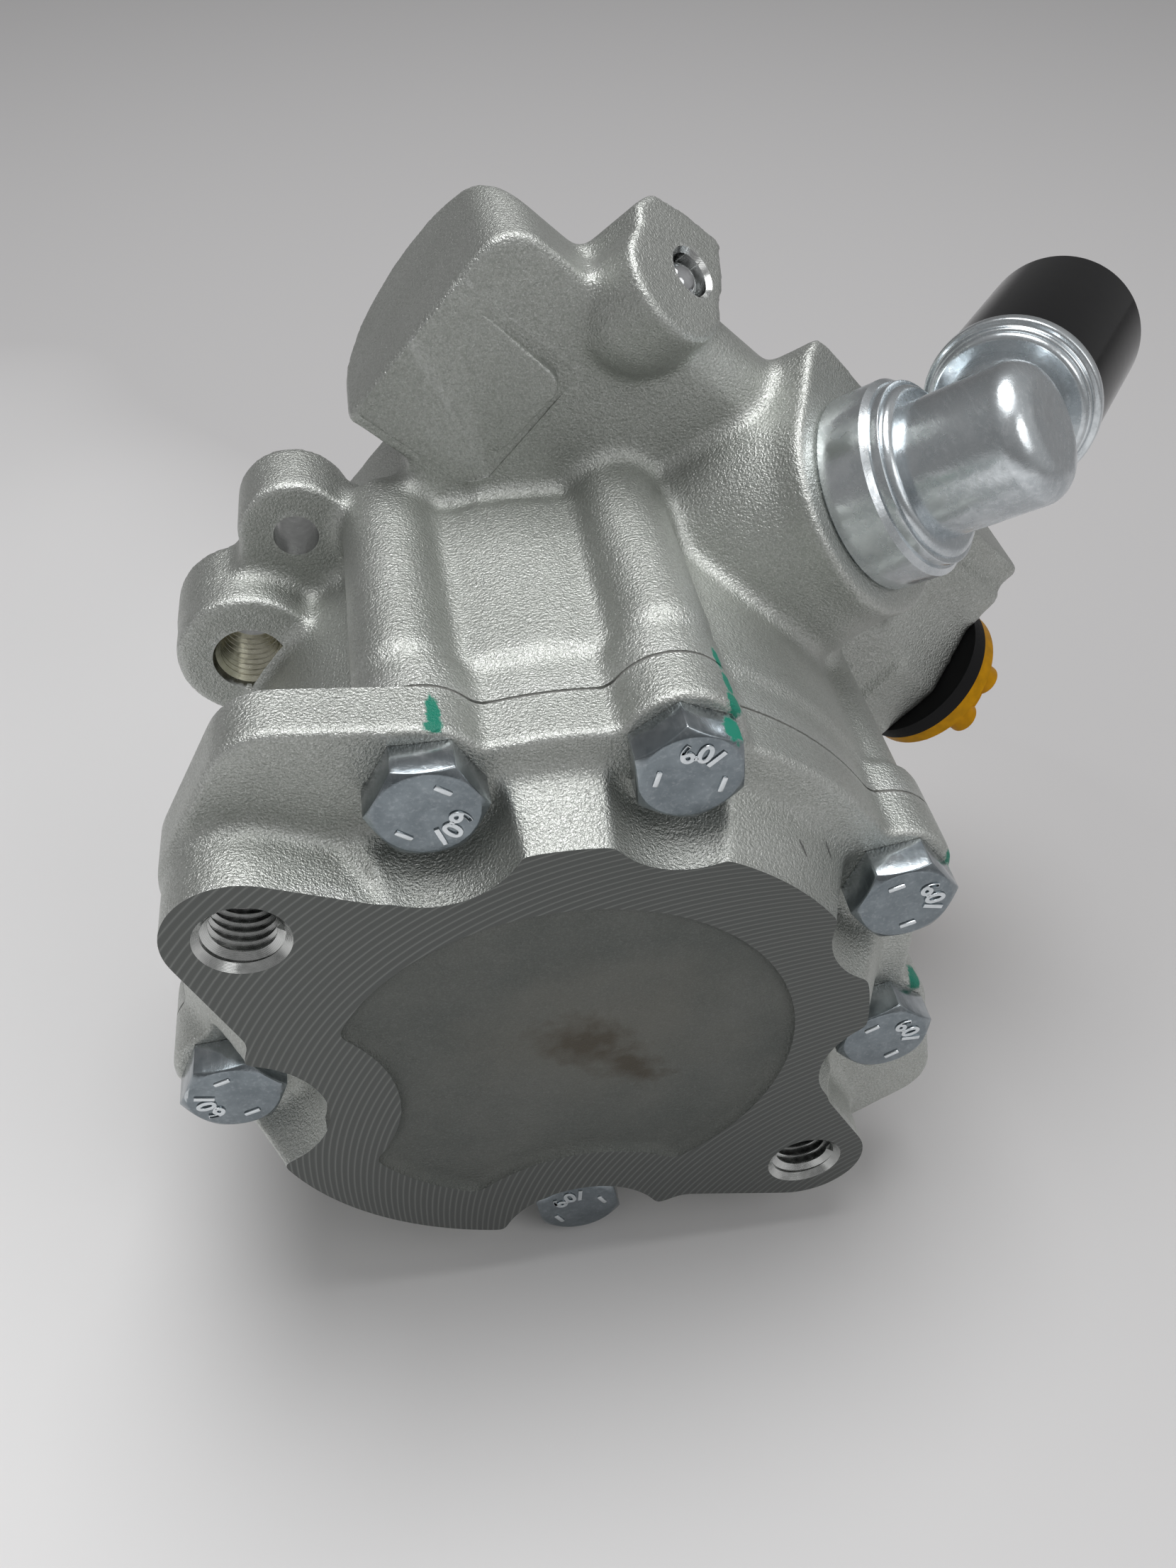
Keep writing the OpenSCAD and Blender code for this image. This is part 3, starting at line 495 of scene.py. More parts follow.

# %% [markdown]
# Handling rubs high edges bright, and the edges also get a painted highlight; the hollows get painted shade.
# Blender's Pointiness says how much a spot sticks out, so a ramp on it gives a mask of edges and one of hollows. A
# noise breaks both up, as real wear is patchy.

# %% Group: edges and hollows
edge_wear_sheen_and_shade, inside, outside = new_group("edge_wear_sheen_and_shade", {"Patch": 180.0}, ["Edge", "Hollow_shade"])
place = add(edge_wear_sheen_and_shade, "TexCoord").outputs["Object"]
bend = add(edge_wear_sheen_and_shade, "NewGeometry").outputs["Pointiness"]
patches = add(edge_wear_sheen_and_shade, "TexNoise", {"Vector": place, "Scale": inside.outputs["Patch"], "Detail": 3.0})
patchy = ramp(edge_wear_sheen_and_shade, patches.outputs["Fac"], [(0.35, 0.35), (0.65, 1.0)])
# Bright edges are wear and a painted highlight; dark hollows are painted shade.
edges = ramp(edge_wear_sheen_and_shade, bend, [(0.515, 0.0), (0.57, 1.0)])
hollow_shade = ramp(edge_wear_sheen_and_shade, bend, [(0.43, 1.0), (0.49, 0.0)])
edge_wear_sheen_and_shade.links.new(math_node(edge_wear_sheen_and_shade, "MULTIPLY", edges, patchy), outside.inputs["Edge"])
edge_wear_sheen_and_shade.links.new(math_node(edge_wear_sheen_and_shade, "MULTIPLY", hollow_shade, patchy), outside.inputs["Hollow_shade"])
print("group", edge_wear_sheen_and_shade.name)

# %% [markdown]
# Three small effects belong to several finishes as well. A dab is a spot of paint, dirt or damage at one place:
# a Mapping node moves its centre there and scales it, and a noise frays its rim. Scuffs are thin streaks where
# plated parts rubbed against others in a box. The inspector's green paint marks are a group of dabs.

# %% Groups: scuffs and paint marks
def dab(tree, place, centre, reach, turn=(0, 0, 0), fray=0.5, grain=1200.0, core=0.72):
    """A mask that is 1 near a centre (in metres) and fades from its core to its reach (in mm along three axes)."""
    local = add(tree, "Mapping", {"Vector": place, "Location": centre, "Rotation": turn,
                                  "Scale": Vector(reach) * MM}, vector_type="TEXTURE").outputs["Vector"]
    away = add(tree, "VectorMath", {0: local}, operation="LENGTH").outputs["Value"]
    noise = add(tree, "TexNoise", {"Vector": place, "Scale": grain, "Detail": 3.0}).outputs["Fac"]
    rim = math_node(tree, "MULTIPLY_ADD", math_node(tree, "SUBTRACT", noise, 0.5), 2 * fray, away)
    return ramp(tree, rim, [(core, 1.0), (1.0, 0.0)])


def largest(tree, masks):
    """The strongest of several masks."""
    result = masks[0]
    for mask in masks[1:]:
        result = math_node(tree, "MAXIMUM", result, mask)
    return result


scuffs, inside, outside = new_group("scuffs", {"Amount": 0.5}, ["Streak", "Blotch"])
place = add(scuffs, "TexCoord").outputs["Object"]
slanted = add(scuffs, "Mapping", {"Vector": place, "Rotation": (0.6, 0.3, 0.5), "Scale": (1500, 260, 1500)})
streaks = add(scuffs, "TexNoise", {"Vector": slanted.outputs["Vector"], "Scale": 1.0, "Detail": 4.0, "Roughness": 0.7})
blotches = add(scuffs, "TexNoise", {"Vector": place, "Scale": 260.0, "Detail": 5.0, "Roughness": 0.65})
streaks = ramp(scuffs, streaks.outputs["Fac"], [(0.52, 0.0), (0.72, 1.0)])
blotches = ramp(scuffs, blotches.outputs["Fac"], [(0.38, 0.0), (0.66, 1.0)])
scuffs.links.new(math_node(scuffs, "MULTIPLY", streaks, inside.outputs["Amount"]), outside.inputs["Streak"])
scuffs.links.new(blotches, outside.inputs["Blotch"])

paint_marks, inside, outside = new_group("paint_marks", {"Strength": 1.0}, ["Mask"])
place = add(paint_marks, "TexCoord").outputs["Object"]
# Middle and reach of each dab, in mm
MARKS = [((-13.0, 12.6, 55.9), (1.0, 3.6, 1.3)), ((-13.2, 10.3, 55.7), (1.4, 1.1, 0.9)),
         ((21.3, 6.4, 53.8), (1.4, 2.6, 1.8)), ((22.5, 10.6, 54.1), (1.5, 2.1, 1.8)),
         ((22.5, 14.0, 54.2), (0.8, 2.4, 1.4)), ((22.2, 18.8, 54.5), (0.6, 2.4, 1.2)),
         ((55.4, 8.6, 23.4), (1.6, 2.6, 2.2)), ((54.8, 10.4, -4.3), (1.6, 2.6, 1.8))]
marks = [dab(paint_marks, place, Vector(middle) * MM, reach, grain=1500.0, fray=0.45) for middle, reach in MARKS]
painted = math_node(paint_marks, "MULTIPLY", largest(paint_marks, marks), inside.outputs["Strength"])
paint_marks.links.new(painted, outside.inputs["Mask"])
PAINT_GREEN = (0.0, 0.20, 0.13)
print("groups", scuffs.name, paint_marks.name, "with", len(MARKS), "dabs")

# %% [markdown]
# The rear face was cut by a large milling head that moved across it slantwise. Each turn of the head left one
# arc of the same radius, a little further on, so the pattern is the head's travel: the distance along the feed
# plus the height of the arc. The face lies at depth zero and its recess just behind, so depth is their mask.
# Stains and scratches are dabs; a place seen in the picture is found on the face by a line from the camera.

# %% Masks and milled lines
def share(tree, mask, amount):
    """A mask at part of its strength."""
    return math_node(tree, "MULTIPLY", mask, amount)


def with_paint(tree, shader, tone, rough):
    """Lays the green marks over a bare metal: colour, roughness and no metal under paint."""
    paint = place_group(tree, paint_marks).outputs["Mask"]
    tree.links.new(blend_colour(tree, paint, tone, PAINT_GREEN), shader.inputs["Base Color"])
    bare = math_node(tree, "SUBTRACT", 1.0, paint)
    tree.links.new(bare, shader.inputs["Metallic"])
    tree.links.new(math_node(tree, "MULTIPLY_ADD", paint, 0.5, math_node(tree, "MULTIPLY", rough, bare)),
                   shader.inputs["Roughness"])


def between(tree, value, low, high):
    """1 where a value lies between two limits, else 0."""
    return math_node(tree, "MULTIPLY", math_node(tree, "GREATER_THAN", value, low),
                     math_node(tree, "LESS_THAN", value, high))


def choose(tree, mask, first, second):
    """The second value where the mask is 1, the first where it is 0."""
    return math_node(tree, "ADD", math_node(tree, "MULTIPLY", second, mask),
                     math_node(tree, "MULTIPLY", first, math_node(tree, "SUBTRACT", 1.0, mask)))


def milled_lines(tree, place, head_radius, feed):
    """A wave of thin bright ridges along the arcs that a milling head leaves, sizes in mm."""
    apart = add(tree, "SeparateXYZ", {"Vector": place})
    across, rise = apart.outputs["X"], apart.outputs["Z"]
    along = math_node(tree, "MULTIPLY", math_node(tree, "SUBTRACT", across, rise), 0.7071)
    aside = math_node(tree, "MULTIPLY", math_node(tree, "ADD", across, rise), 0.7071)
    drop = math_node(tree, "SUBTRACT", (head_radius * MM) ** 2, math_node(tree, "MULTIPLY", aside, aside))
    travel = math_node(tree, "ADD", along, math_node(tree, "SQRT", math_node(tree, "MAXIMUM", drop, 0.0)))
    wave = math_node(tree, "SINE", math_node(tree, "MULTIPLY", travel, 2 * math.pi / (feed * MM)))
    return math_node(tree, "POWER", math_node(tree, "MULTIPLY_ADD", wave, 0.5, 0.5), 3.0)


def spot_on_face(x, y):
    """The point of the milled face that a place in the picture shows, in the picture's pixels."""
    look = right * (x - PICTURE_WIDE / 2) / FOCAL + up * (PICTURE_TALL / 2 - y) / FOCAL - back
    return camera.location - look * (camera.location.y / look.y)


print("masks ready")

# %% [markdown]
# The casting is bare aluminium: a metal shader, satin from the blasting, a little green in its shade. Its edges are
# brighter, as wear and as a painted highlight, and its hollows and pits darker, as painted shade. The cover's rear face
# is smooth and painted darker, a painted reflection of the shaded floor in front; its recess was left as cast, is rough
# and is painted darker still, as painted shade, with a brown stain where fluid dried. Two short scratches lie on the
# slope beside the right-hand bolts.

# %% Cast aluminium
FACE_SKIN = 0.03 * MM
RECESS_DEPTH, RECESS_REACH = 1.7 * MM, 34.5 * MM
HALO, STAIN, DRIP = (850, 1470), (835, 1482), (890, 1512)
SCRATCHES = ((31.8, 5.4, 33.1), (36.2, 7.3, 29.8))
SCRATCH_RUN, SCRATCH_OUT = Vector((0.45, -0.63, -0.63)).normalized(), Vector((0.69, -0.2, 0.69)).normalized()


def recess_shade_and_stain(tree, place, skin):
    """Dark, greenish skin of the recess, which is painted shade, with the stain."""
    # The recess is painted darker than the rest of the casting, as painted shade.
    recess_shade = ramp(tree, skin.outputs["Cloud"], [(0.3, (0.130, 0.140, 0.131)), (0.7, (0.171, 0.178, 0.166))])
    recess_shade = blend_colour(tree, share(tree, skin.outputs["Sparkle"], 0.35), recess_shade, (0.30, 0.31, 0.30))
    halo = dab(tree, place, spot_on_face(*HALO), (24, 12, 19), fray=0.5, grain=90.0, core=0.25)
    recess_shade = blend_colour(tree, share(tree, halo, 0.4), recess_shade, (0.235, 0.228, 0.20))
    stain = dab(tree, place, spot_on_face(*STAIN), (9.5, 12, 7.0), (0, 0.5, 0), 0.7, 420.0, core=0.2)
    drip = dab(tree, place, spot_on_face(*DRIP), (8.5, 12, 4.2), (0, 0.75, 0), 0.7, 500.0, core=0.2)
    return blend_colour(tree, share(tree, largest(tree, [stain, drip]), 0.8), recess_shade, (0.10, 0.086, 0.066))


def cover_face(tree, place, skin, tone, rough):
    """Lays the scratches, the milled face and the recess over the bare casting of the cover."""
    depth = add(tree, "SeparateXYZ", {"Vector": place}).outputs["Y"]
    face = math_node(tree, "LESS_THAN", depth, FACE_SKIN)
    lines = milled_lines(tree, place, 58, 1.15)
    # The milled face is painted darker, a painted reflection of the shaded floor in front, with the milled lines on
    # top.
    milled_shade = ramp(tree, lines, [(0.0, (0.115, 0.121, 0.117)), (0.5, (0.132, 0.139, 0.135)), (1.0, (0.205, 0.214, 0.205))])
    milled_shade = blend_colour(tree, share(tree, skin.outputs["Cloud"], 0.3), milled_shade, (0.12, 0.126, 0.12))
    from_middle = add(tree, "VectorMath", {0: place}, operation="LENGTH").outputs["Value"]
    recess = math_node(tree, "MULTIPLY", between(tree, depth, FACE_SKIN, RECESS_DEPTH),
                       math_node(tree, "LESS_THAN", from_middle, RECESS_REACH))
    turn = Matrix((SCRATCH_RUN.cross(SCRATCH_OUT), SCRATCH_RUN, SCRATCH_OUT)).transposed().to_euler()
    gouge = largest(tree, [dab(tree, place, Vector(middle) * MM, (0.22, 1.6, 1.6), turn, 0.3, 2000.0)
                           for middle in SCRATCHES])
    tone = blend_colour(tree, share(tree, gouge, 0.7), tone, (0.10, 0.10, 0.10))
    tone = blend_colour(tree, recess, blend_colour(tree, face, tone, milled_shade), recess_shade_and_stain(tree, place, skin))
    rough = choose(tree, recess, choose(tree, face, rough, 0.42), 0.56)
    return tone, rough, choose(tree, face, skin.outputs["Height"], share(tree, lines, 0.2))


def cast_aluminium(name, is_cover):
    finish, tree, shader, place = new_finish(name, 1.0)
    skin, wear_and_shade = place_group(tree, cast_skin), place_group(tree, edge_wear_sheen_and_shade)
    tone = ramp(tree, skin.outputs["Cloud"], [(0.3, (0.46, 0.475, 0.45)), (0.7, (0.54, 0.555, 0.53))])
    tone = blend_colour(tree, share(tree, skin.outputs["Sparkle"], 0.6), tone, (0.82, 0.83, 0.815))
    # Edges painted brighter, as wear and as a painted highlight; hollows painted darker, as painted shade.
    tone = blend_colour(tree, share(tree, wear_and_shade.outputs["Edge"], 0.5), tone, (0.78, 0.79, 0.78))
    tone = blend_colour(tree, share(tree, wear_and_shade.outputs["Hollow_shade"], 0.2), tone, (0.36, 0.37, 0.345))
    # The pits of the dimples are painted darker, as painted shade.
    pit_shade = ramp(tree, skin.outputs["Height"], [(0.36, 0.42), (0.54, 0.0)])
    tone = blend_colour(tree, pit_shade, tone, (0.33, 0.345, 0.322))
    rough = math_node(tree, "MULTIPLY_ADD", skin.outputs["Sparkle"], -0.16, 0.48)
    bump = skin.outputs["Height"]
    if is_cover:
        tone, rough, bump = cover_face(tree, place, skin, tone, rough)
    with_paint(tree, shader, tone, rough)
    relief = add(tree, "Bump", {"Strength": 0.9, "Distance": 0.00025, "Height": bump})
    tree.links.new(relief.outputs["Normal"], shader.inputs["Normal"])
    return finish


dress(housing, cast_aluminium("housing_aluminium", False))
dress(cover, cast_aluminium("cover_aluminium", True))
print("castings finished in", housing.data.materials[0].name, "and", cover.data.materials[0].name)

# %% [markdown]
# Drilled and tapped holes are cut metal, brighter and smoother than the skin. The faces inside the holes get
# that finish as a second material, picked by their distance from the hole's axis. Turned marks run round the
# axis as fine rings, which a wave along the depth gives.

# %% Cut metal in the holes
def cut_metal(name, dark, light, ring):
    finish, tree, shader, place = new_finish(name, 1.0)
    depth = add(tree, "SeparateXYZ", {"Vector": place}).outputs["Y"]
    rings = math_node(tree, "SINE", math_node(tree, "MULTIPLY", depth, 2 * math.pi / (ring * MM)))
    blur = add(tree, "TexNoise", {"Vector": place, "Scale": 900.0, "Detail": 3.0}).outputs["Fac"]
    mix = math_node(tree, "MULTIPLY_ADD", rings, 0.15, blur)
    tree.links.new(ramp(tree, mix, [(0.3, dark), (0.7, light)]), shader.inputs["Base Color"])
    tree.links.new(ramp(tree, blur, [(0.3, 0.16), (0.7, 0.28)]), shader.inputs["Roughness"])
    relief = add(tree, "Bump", {"Strength": 0.2, "Distance": 0.00005, "Height": mix})
    tree.links.new(relief.outputs["Normal"], shader.inputs["Normal"])
    return finish


cut_aluminium = cut_metal("cut_aluminium", (0.47, 0.48, 0.47), (0.62, 0.63, 0.62), 0.12)
cut_tinted = cut_metal("cut_tinted", (0.50, 0.48, 0.37), (0.72, 0.70, 0.57), 0.12)


def bright_hole(piece, start, end, radius):
    """Gives the cut finish to the faces of a hole between two points, within a radius in mm."""
    if len(piece.data.materials) == 1:
        piece.data.materials.append(cut_aluminium)
    along = (end - start).normalized()
    count = 0
    for face in piece.data.polygons:
        reach = face.center - start
        height = reach.dot(along)
        if 0 <= height <= (end - start).length and (reach - along * height).length < radius * MM:
            face.material_index = 1
            count += 1
    return count


found = [bright_hole(cover, spot(*hole, 0.02), spot(*hole, 15.1), 6.6) for hole in MOUNT_HOLES]
found += [bright_hole(housing, spot(*STUD_HOLE, 54.3), spot(*STUD_HOLE, 68.7), 5.3),
          bright_hole(housing, spot(*EAR_HOLE, 61.2), spot(*EAR_HOLE, 71.7), 3.4),
          bright_hole(housing, BALL_FACE - BALL_WAY * 22.1 * MM, BALL_FACE - BALL_WAY * 0.05 * MM, 3.9),
          bright_hole(housing, spot(0, 0, 60), spot(0, 0, 85.7), 21.6)]
print("cut faces in holes:", found)

# %% [markdown]
# A thread is one tooth wound up the hole. The tooth is a four-sided profile beside the axis, and a Screw modifier
# turns it while it climbs by one pitch a turn, which is how a tap cuts it too. Its ends are closed with faces.

# %% Threads
def thread_coil(name, hole, near, turns, major, minor, pitch, finish):
    """A thread from one depth on, with its number of turns and its radii and pitch in mm."""
    let_go()
    bpy.ops.mesh.primitive_plane_add(size=1)
    coil = bpy.context.object
    coil.name = name
    root, crest, sunk = 0.5 * pitch + 0.12, 0.07 * pitch, major + 0.2
    profile = [(minor, -crest), (sunk, -root), (minor, crest), (sunk, root)]
    for point, (radius, height) in zip(coil.data.vertices, profile):
        point.co = (radius * MM, 0, height * MM)
    edit_all(coil)
    bpy.ops.mesh.delete(type="ONLY_FACE")
    bpy.ops.object.mode_set(mode="OBJECT")
    apply(coil, "SCREW", axis="Z", angle=2 * math.pi, screw_offset=pitch * MM, iterations=turns,
          steps=40, render_steps=40)
    edit_all(coil, "EDGE")
    bpy.ops.mesh.select_all(action="DESELECT")
    bpy.ops.mesh.select_non_manifold()
    bpy.ops.mesh.edge_face_add()
    bpy.ops.mesh.select_all(action="SELECT")
    bpy.ops.mesh.normals_make_consistent(inside=False)
    bpy.ops.object.mode_set(mode="OBJECT")
    coil.rotation_euler = (-math.pi / 2, 0, 0)
    coil.location = spot(*hole, near)
    bpy.ops.object.transform_apply(location=True, rotation=True, scale=True)
    bpy.ops.object.shade_smooth_by_angle(angle=math.radians(30))
    dress(coil, finish)
    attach(coil, "pump_body")
    return coil


threads = [thread_coil("cover_thread_left", MOUNT_HOLES[0], 1.6, 8, 5.0, 4.05, 1.5, cut_aluminium),
           thread_coil("cover_thread_right", MOUNT_HOLES[1], 1.6, 8, 5.0, 4.05, 1.5, cut_aluminium),
           thread_coil("stud_thread", STUD_HOLE, 55.6, 9, 5.0, 4.3, 1.25, cut_tinted)]
print("threads:", [triangles(t) for t in threads], "triangles")

# %% [markdown]
# Bolts and fittings are plated with zinc, a bluish bright metal with fine streaks from the plating barrel. Blotches
# change its tint and its gloss together, edges are made brighter as wear and as a painted highlight, and the bolts
# carry some of the green paint.

# %% Zinc plate
def zinc_plate(name, tint, light, rough_low, rough_high, rubbed=0.6, painted=False):
    finish, tree, shader, place = new_finish(name, 1.0)
    rub, wear_and_shade = place_group(tree, scuffs, Amount=rubbed), place_group(tree, edge_wear_sheen_and_shade, Patch=400.0)
    tone = blend_colour(tree, share(tree, rub.outputs["Blotch"], 0.7), tint, light)
    tone = blend_colour(tree, rub.outputs["Streak"], tone, (0.86, 0.89, 0.92))
    # Edges painted brighter, as wear and as a painted highlight.
    tone = blend_colour(tree, share(tree, wear_and_shade.outputs["Edge"], 0.6), tone, (0.85, 0.88, 0.90))
    rough = ramp(tree, rub.outputs["Blotch"], [(0.0, rough_high), (1.0, rough_low)])
    if painted:
        with_paint(tree, shader, tone, rough)
    else:
        tree.links.new(tone, shader.inputs["Base Color"])
        tree.links.new(rough, shader.inputs["Roughness"])
    lumps = math_node(tree, "MULTIPLY_ADD", rub.outputs["Streak"], 0.4, rub.outputs["Blotch"])
    relief = add(tree, "Bump", {"Strength": 0.18, "Distance": 0.0001, "Height": lumps})
    tree.links.new(relief.outputs["Normal"], shader.inputs["Normal"])
    return finish


print("zinc plate ready")

# %% [markdown]
# A bolt head is forged in a die, which leaves its strength number and two dashes standing on the top. Each figure is
# a text with a thin extrusion and a bevel, made into a mesh and placed on an arc; the dashes are bevelled blocks.
# One set is made here at the origin, and copied onto the six heads in the next step.

# %% Marks of a bolt head
FIGURES = (("1", -33), ("0", -8), (".", 8), ("9", 25))
FIGURE_REACH, DASH_REACH = 4.05 * MM, 4.1 * MM
figures = []
for figure, angle in FIGURES:
    let_go()
    bpy.ops.object.text_add()
    sign = bpy.context.object
    sign.data.body, sign.data.align_x = figure, "CENTER"
    sign.data.align_y = "BOTTOM" if figure == "." else "CENTER"
    sign.data.size, sign.data.extrude, sign.data.offset = 3.7 * MM, 0.12 * MM, 0.04 * MM
    sign.data.bevel_depth, sign.data.bevel_resolution = 0.11 * MM, 1
    bpy.ops.object.convert(target="MESH")
    sign = bpy.context.object
    angle = math.radians(angle)
    sign.rotation_euler = (0, 0, angle)
    sign.location = (FIGURE_REACH * math.sin(angle), -FIGURE_REACH * math.cos(angle), 0.02 * MM)
    bpy.ops.object.transform_apply(location=True, rotation=True, scale=True)
    figures.append(sign)
mark = join(figures[0], figures[1:])
dashes = []
for side in (-1, 1):
    let_go()
    bpy.ops.mesh.primitive_cube_add(size=1, location=(side * DASH_REACH, 0.6 * MM, 0))
    dash = bpy.context.object
    dash.scale = (0.75 * MM, 2.4 * MM, 0.5 * MM)
    bpy.ops.object.transform_apply(location=True, rotation=True, scale=True)
    apply(dash, "BEVEL", width=0.2 * MM, segments=2)
    dashes.append(dash)
join(mark, dashes)
print("head mark:", triangles(mark), "triangles")

# %% [markdown]
# The bolts come from the CAD piece. A small bevel makes every edge of a head catch a line of light. No two bolts end
# their last turn alike, so each copy of the mark has a turn of its own. The faces above the head's top, the raised
# marks, get a paler zinc, a painted highlight; the heads get a darker zinc, a painted reflection of the shaded floor in
# front.

# %% Cover bolts
HEAD_TOP = 4.0
MARK_TURNS = [76, 20, -38, 30, 200, 120]
bolts = cad_copy("cover_bolts", "cover_bolt_set")
edit_all(bolts)
bpy.ops.mesh.dissolve_limited(angle_limit=math.radians(1.5))
bpy.ops.object.mode_set(mode="OBJECT")
apply(bolts, "BEVEL", width=0.22 * MM, segments=2, limit_method="ANGLE", angle_limit=math.radians(22))
copies = []
facing = Vector((0, -1, 0))
for place, turn in zip(BOLT_SPOTS, MARK_TURNS):
    outward = Vector((math.cos(math.radians(turn)), 0, math.sin(math.radians(turn))))
    copy = bpy.data.objects.new("head_mark", mark.data.copy())
    bpy.context.scene.collection.objects.link(copy)
    turned = Matrix(((-outward).cross(facing), -outward, facing)).transposed().to_4x4()
    copy.matrix_world = Matrix.Translation(spot(*place, HEAD_TOP)) @ turned
    pick(copy)
    bpy.ops.object.transform_apply(location=True, rotation=True, scale=True)
    copies.append(copy)
bpy.data.objects.remove(mark)
join(bolts, copies)
bpy.ops.object.shade_smooth_by_angle(angle=math.radians(32))
# The bolts' zinc is painted darker, a painted reflection of the shaded floor in front of the heads.
shaded_bolt_zinc = zinc_plate("shaded_bolt_zinc", (0.19, 0.22, 0.24), (0.29, 0.33, 0.355), 0.14, 0.24, rubbed=0.15, painted=True)
# The raised marks get a paler copy of the zinc, a painted highlight.
highlit_mark_zinc = zinc_plate("highlit_mark_zinc", (0.62, 0.67, 0.70), (0.78, 0.82, 0.85), 0.14, 0.24)
dress(bolts, shaded_bolt_zinc)
bolts.data.materials.append(highlit_mark_zinc)
for face in bolts.data.polygons:
    if face.center.y < (HEAD_TOP - 0.03) * MM:
        face.material_index = 1
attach(bolts, "pump_body")
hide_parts("cover_bolts")
print("bolts:", triangles(bolts), "triangles")

# %% [markdown]
# Plastic and rubber have a faint flow mottle from the mould and fine handling scratches, which show mostly in the
# gloss. The steel pieces inside are ground or turned, so fine lines run round the shaft over a cloudy tone: a noise
# that is stretched in two directions gives them.

# %% Plastic and turned steel
def plastic(name, shade, rough_low, rough_high, grain=500.0, specular=0.3):
    finish, tree, shader, place = new_finish(name, 0.0, specular)
    rub = place_group(tree, scuffs, Amount=0.5)
    mottle = add(tree, "TexNoise", {"Vector": place, "Scale": grain, "Detail": 3.0}).outputs["Fac"]
    deep, pale = tuple(v * 0.8 for v in shade), tuple(min(1, v * 1.3 + 0.01) for v in shade)
    tone = ramp(tree, mottle, [(0.35, deep), (0.65, shade)])
    tone = blend_colour(tree, share(tree, rub.outputs["Streak"], 0.15), tone, pale)
    tree.links.new(tone, shader.inputs["Base Color"])
    rough = ramp(tree, mottle, [(0.3, rough_low), (0.7, rough_high)])
    tree.links.new(math_node(tree, "MULTIPLY_ADD", rub.outputs["Streak"], 0.15, rough), shader.inputs["Roughness"])
    relief = add(tree, "Bump", {"Strength": 0.08, "Distance": 0.0001, "Height": mottle})
    tree.links.new(relief.outputs["Normal"], shader.inputs["Normal"])
    return finish


def turned_steel(name, dark, light, rough_low, rough_high):
    finish, tree, shader, place = new_finish(name, 1.0)
    wear_and_shade = place_group(tree, edge_wear_sheen_and_shade, Patch=300.0)
    cloud = add(tree, "TexNoise", {"Vector": place, "Scale": 200.0, "Detail": 4.0}).outputs["Fac"]
    stretched = add(tree, "Mapping", {"Vector": place, "Scale": (300, 9000, 300)}).outputs["Vector"]
    fine = add(tree, "TexNoise", {"Vector": stretched, "Scale": 1.0, "Detail": 3.0}).outputs["Fac"]
    tone = ramp(tree, math_node(tree, "MULTIPLY_ADD", fine, 0.5, share(tree, cloud, 0.5)), [(0.3, dark), (0.7, light)])
    # Edges painted brighter, as wear and as a painted highlight.
    rubbed = tuple(min(1, v * 1.2) for v in light)
    tone = blend_colour(tree, share(tree, wear_and_shade.outputs["Edge"], 0.4), tone, rubbed)
    tree.links.new(tone, shader.inputs["Base Color"])
    tree.links.new(ramp(tree, cloud, [(0.3, rough_low), (0.7, rough_high)]), shader.inputs["Roughness"])
    relief = add(tree, "Bump", {"Strength": 0.12, "Distance": 0.00005, "Height": fine})
    tree.links.new(relief.outputs["Normal"], shader.inputs["Normal"])
    return finish


print("plastic and steel ready")

# %% [markdown]
# The gasket is pressed out to the edge of the joint when the bolts are tightened, so its copy is swollen a
# little along its normals until it stands level with both castings.

# %% Gasket
gasket = cad_copy("cover_gasket", "pressed_gasket")
apply(gasket, "DISPLACE", strength=0.58 * MM, mid_level=0)
bpy.ops.object.shade_smooth_by_angle(angle=math.radians(35))
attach(gasket, "pump_body")
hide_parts("cover_gasket")
print("gasket:", triangles(gasket), "triangles")

# %% [markdown]
# Two turned rings of the suction fitting are too fine for the CAD: the lip of the collar, swaged over the foot of
# the elbow, and the stepped flange on which the transport cap sits. Each is a disc whose face is inset and
# extruded into a step; a bevel then breaks its edges so that they shine.

# %% Rings of the suction fitting
def stepped_ring(name, foot, along, near, far, radius, step):
    """A disc on an axis between two heights, with a smaller step on its near side, all in mm."""
    ring = port_bar(foot, along, near, far, radius, name=name)
    select_faces(ring, lambda face: len(face.vertices) > 4 and face.normal.dot(along) < -0.9)
    bpy.ops.mesh.inset(thickness=1.1 * MM, depth=0)
    bpy.ops.mesh.extrude_region_move(TRANSFORM_OT_translate={"value": along * -step * MM})
    bpy.ops.mesh.inset(thickness=0.7 * MM, depth=0)
    bpy.ops.object.mode_set(mode="OBJECT")
    apply(ring, "BEVEL", width=0.4 * MM, segments=3, limit_method="ANGLE", angle_limit=math.radians(30))
    bpy.ops.object.shade_smooth_by_angle(angle=math.radians(35))
    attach(ring, "pump_body")
    return ring


rings = [stepped_ring("collar_lip", SUCTION_FACE, -SUCTION_WAY, -9.3, -7.5, 13.4, -0.2),
         stepped_ring("branch_flange", BRANCH_FOOT, BRANCH_WAY, 16.9, 18.95, 12.9, 0.9)]
print("rings:", [triangles(ring) for ring in rings], "triangles")

# %% [markdown]
# The other pieces keep their CAD shapes, which already have their roundings, and only get a finish: scuffed zinc on
# collar, elbow, branch and hub, polished steel on the balls, glossy black and yellow plastic on the transport caps.
# The pieces inside are finished as well, so that the pump can be opened later. A table says which finish goes where.

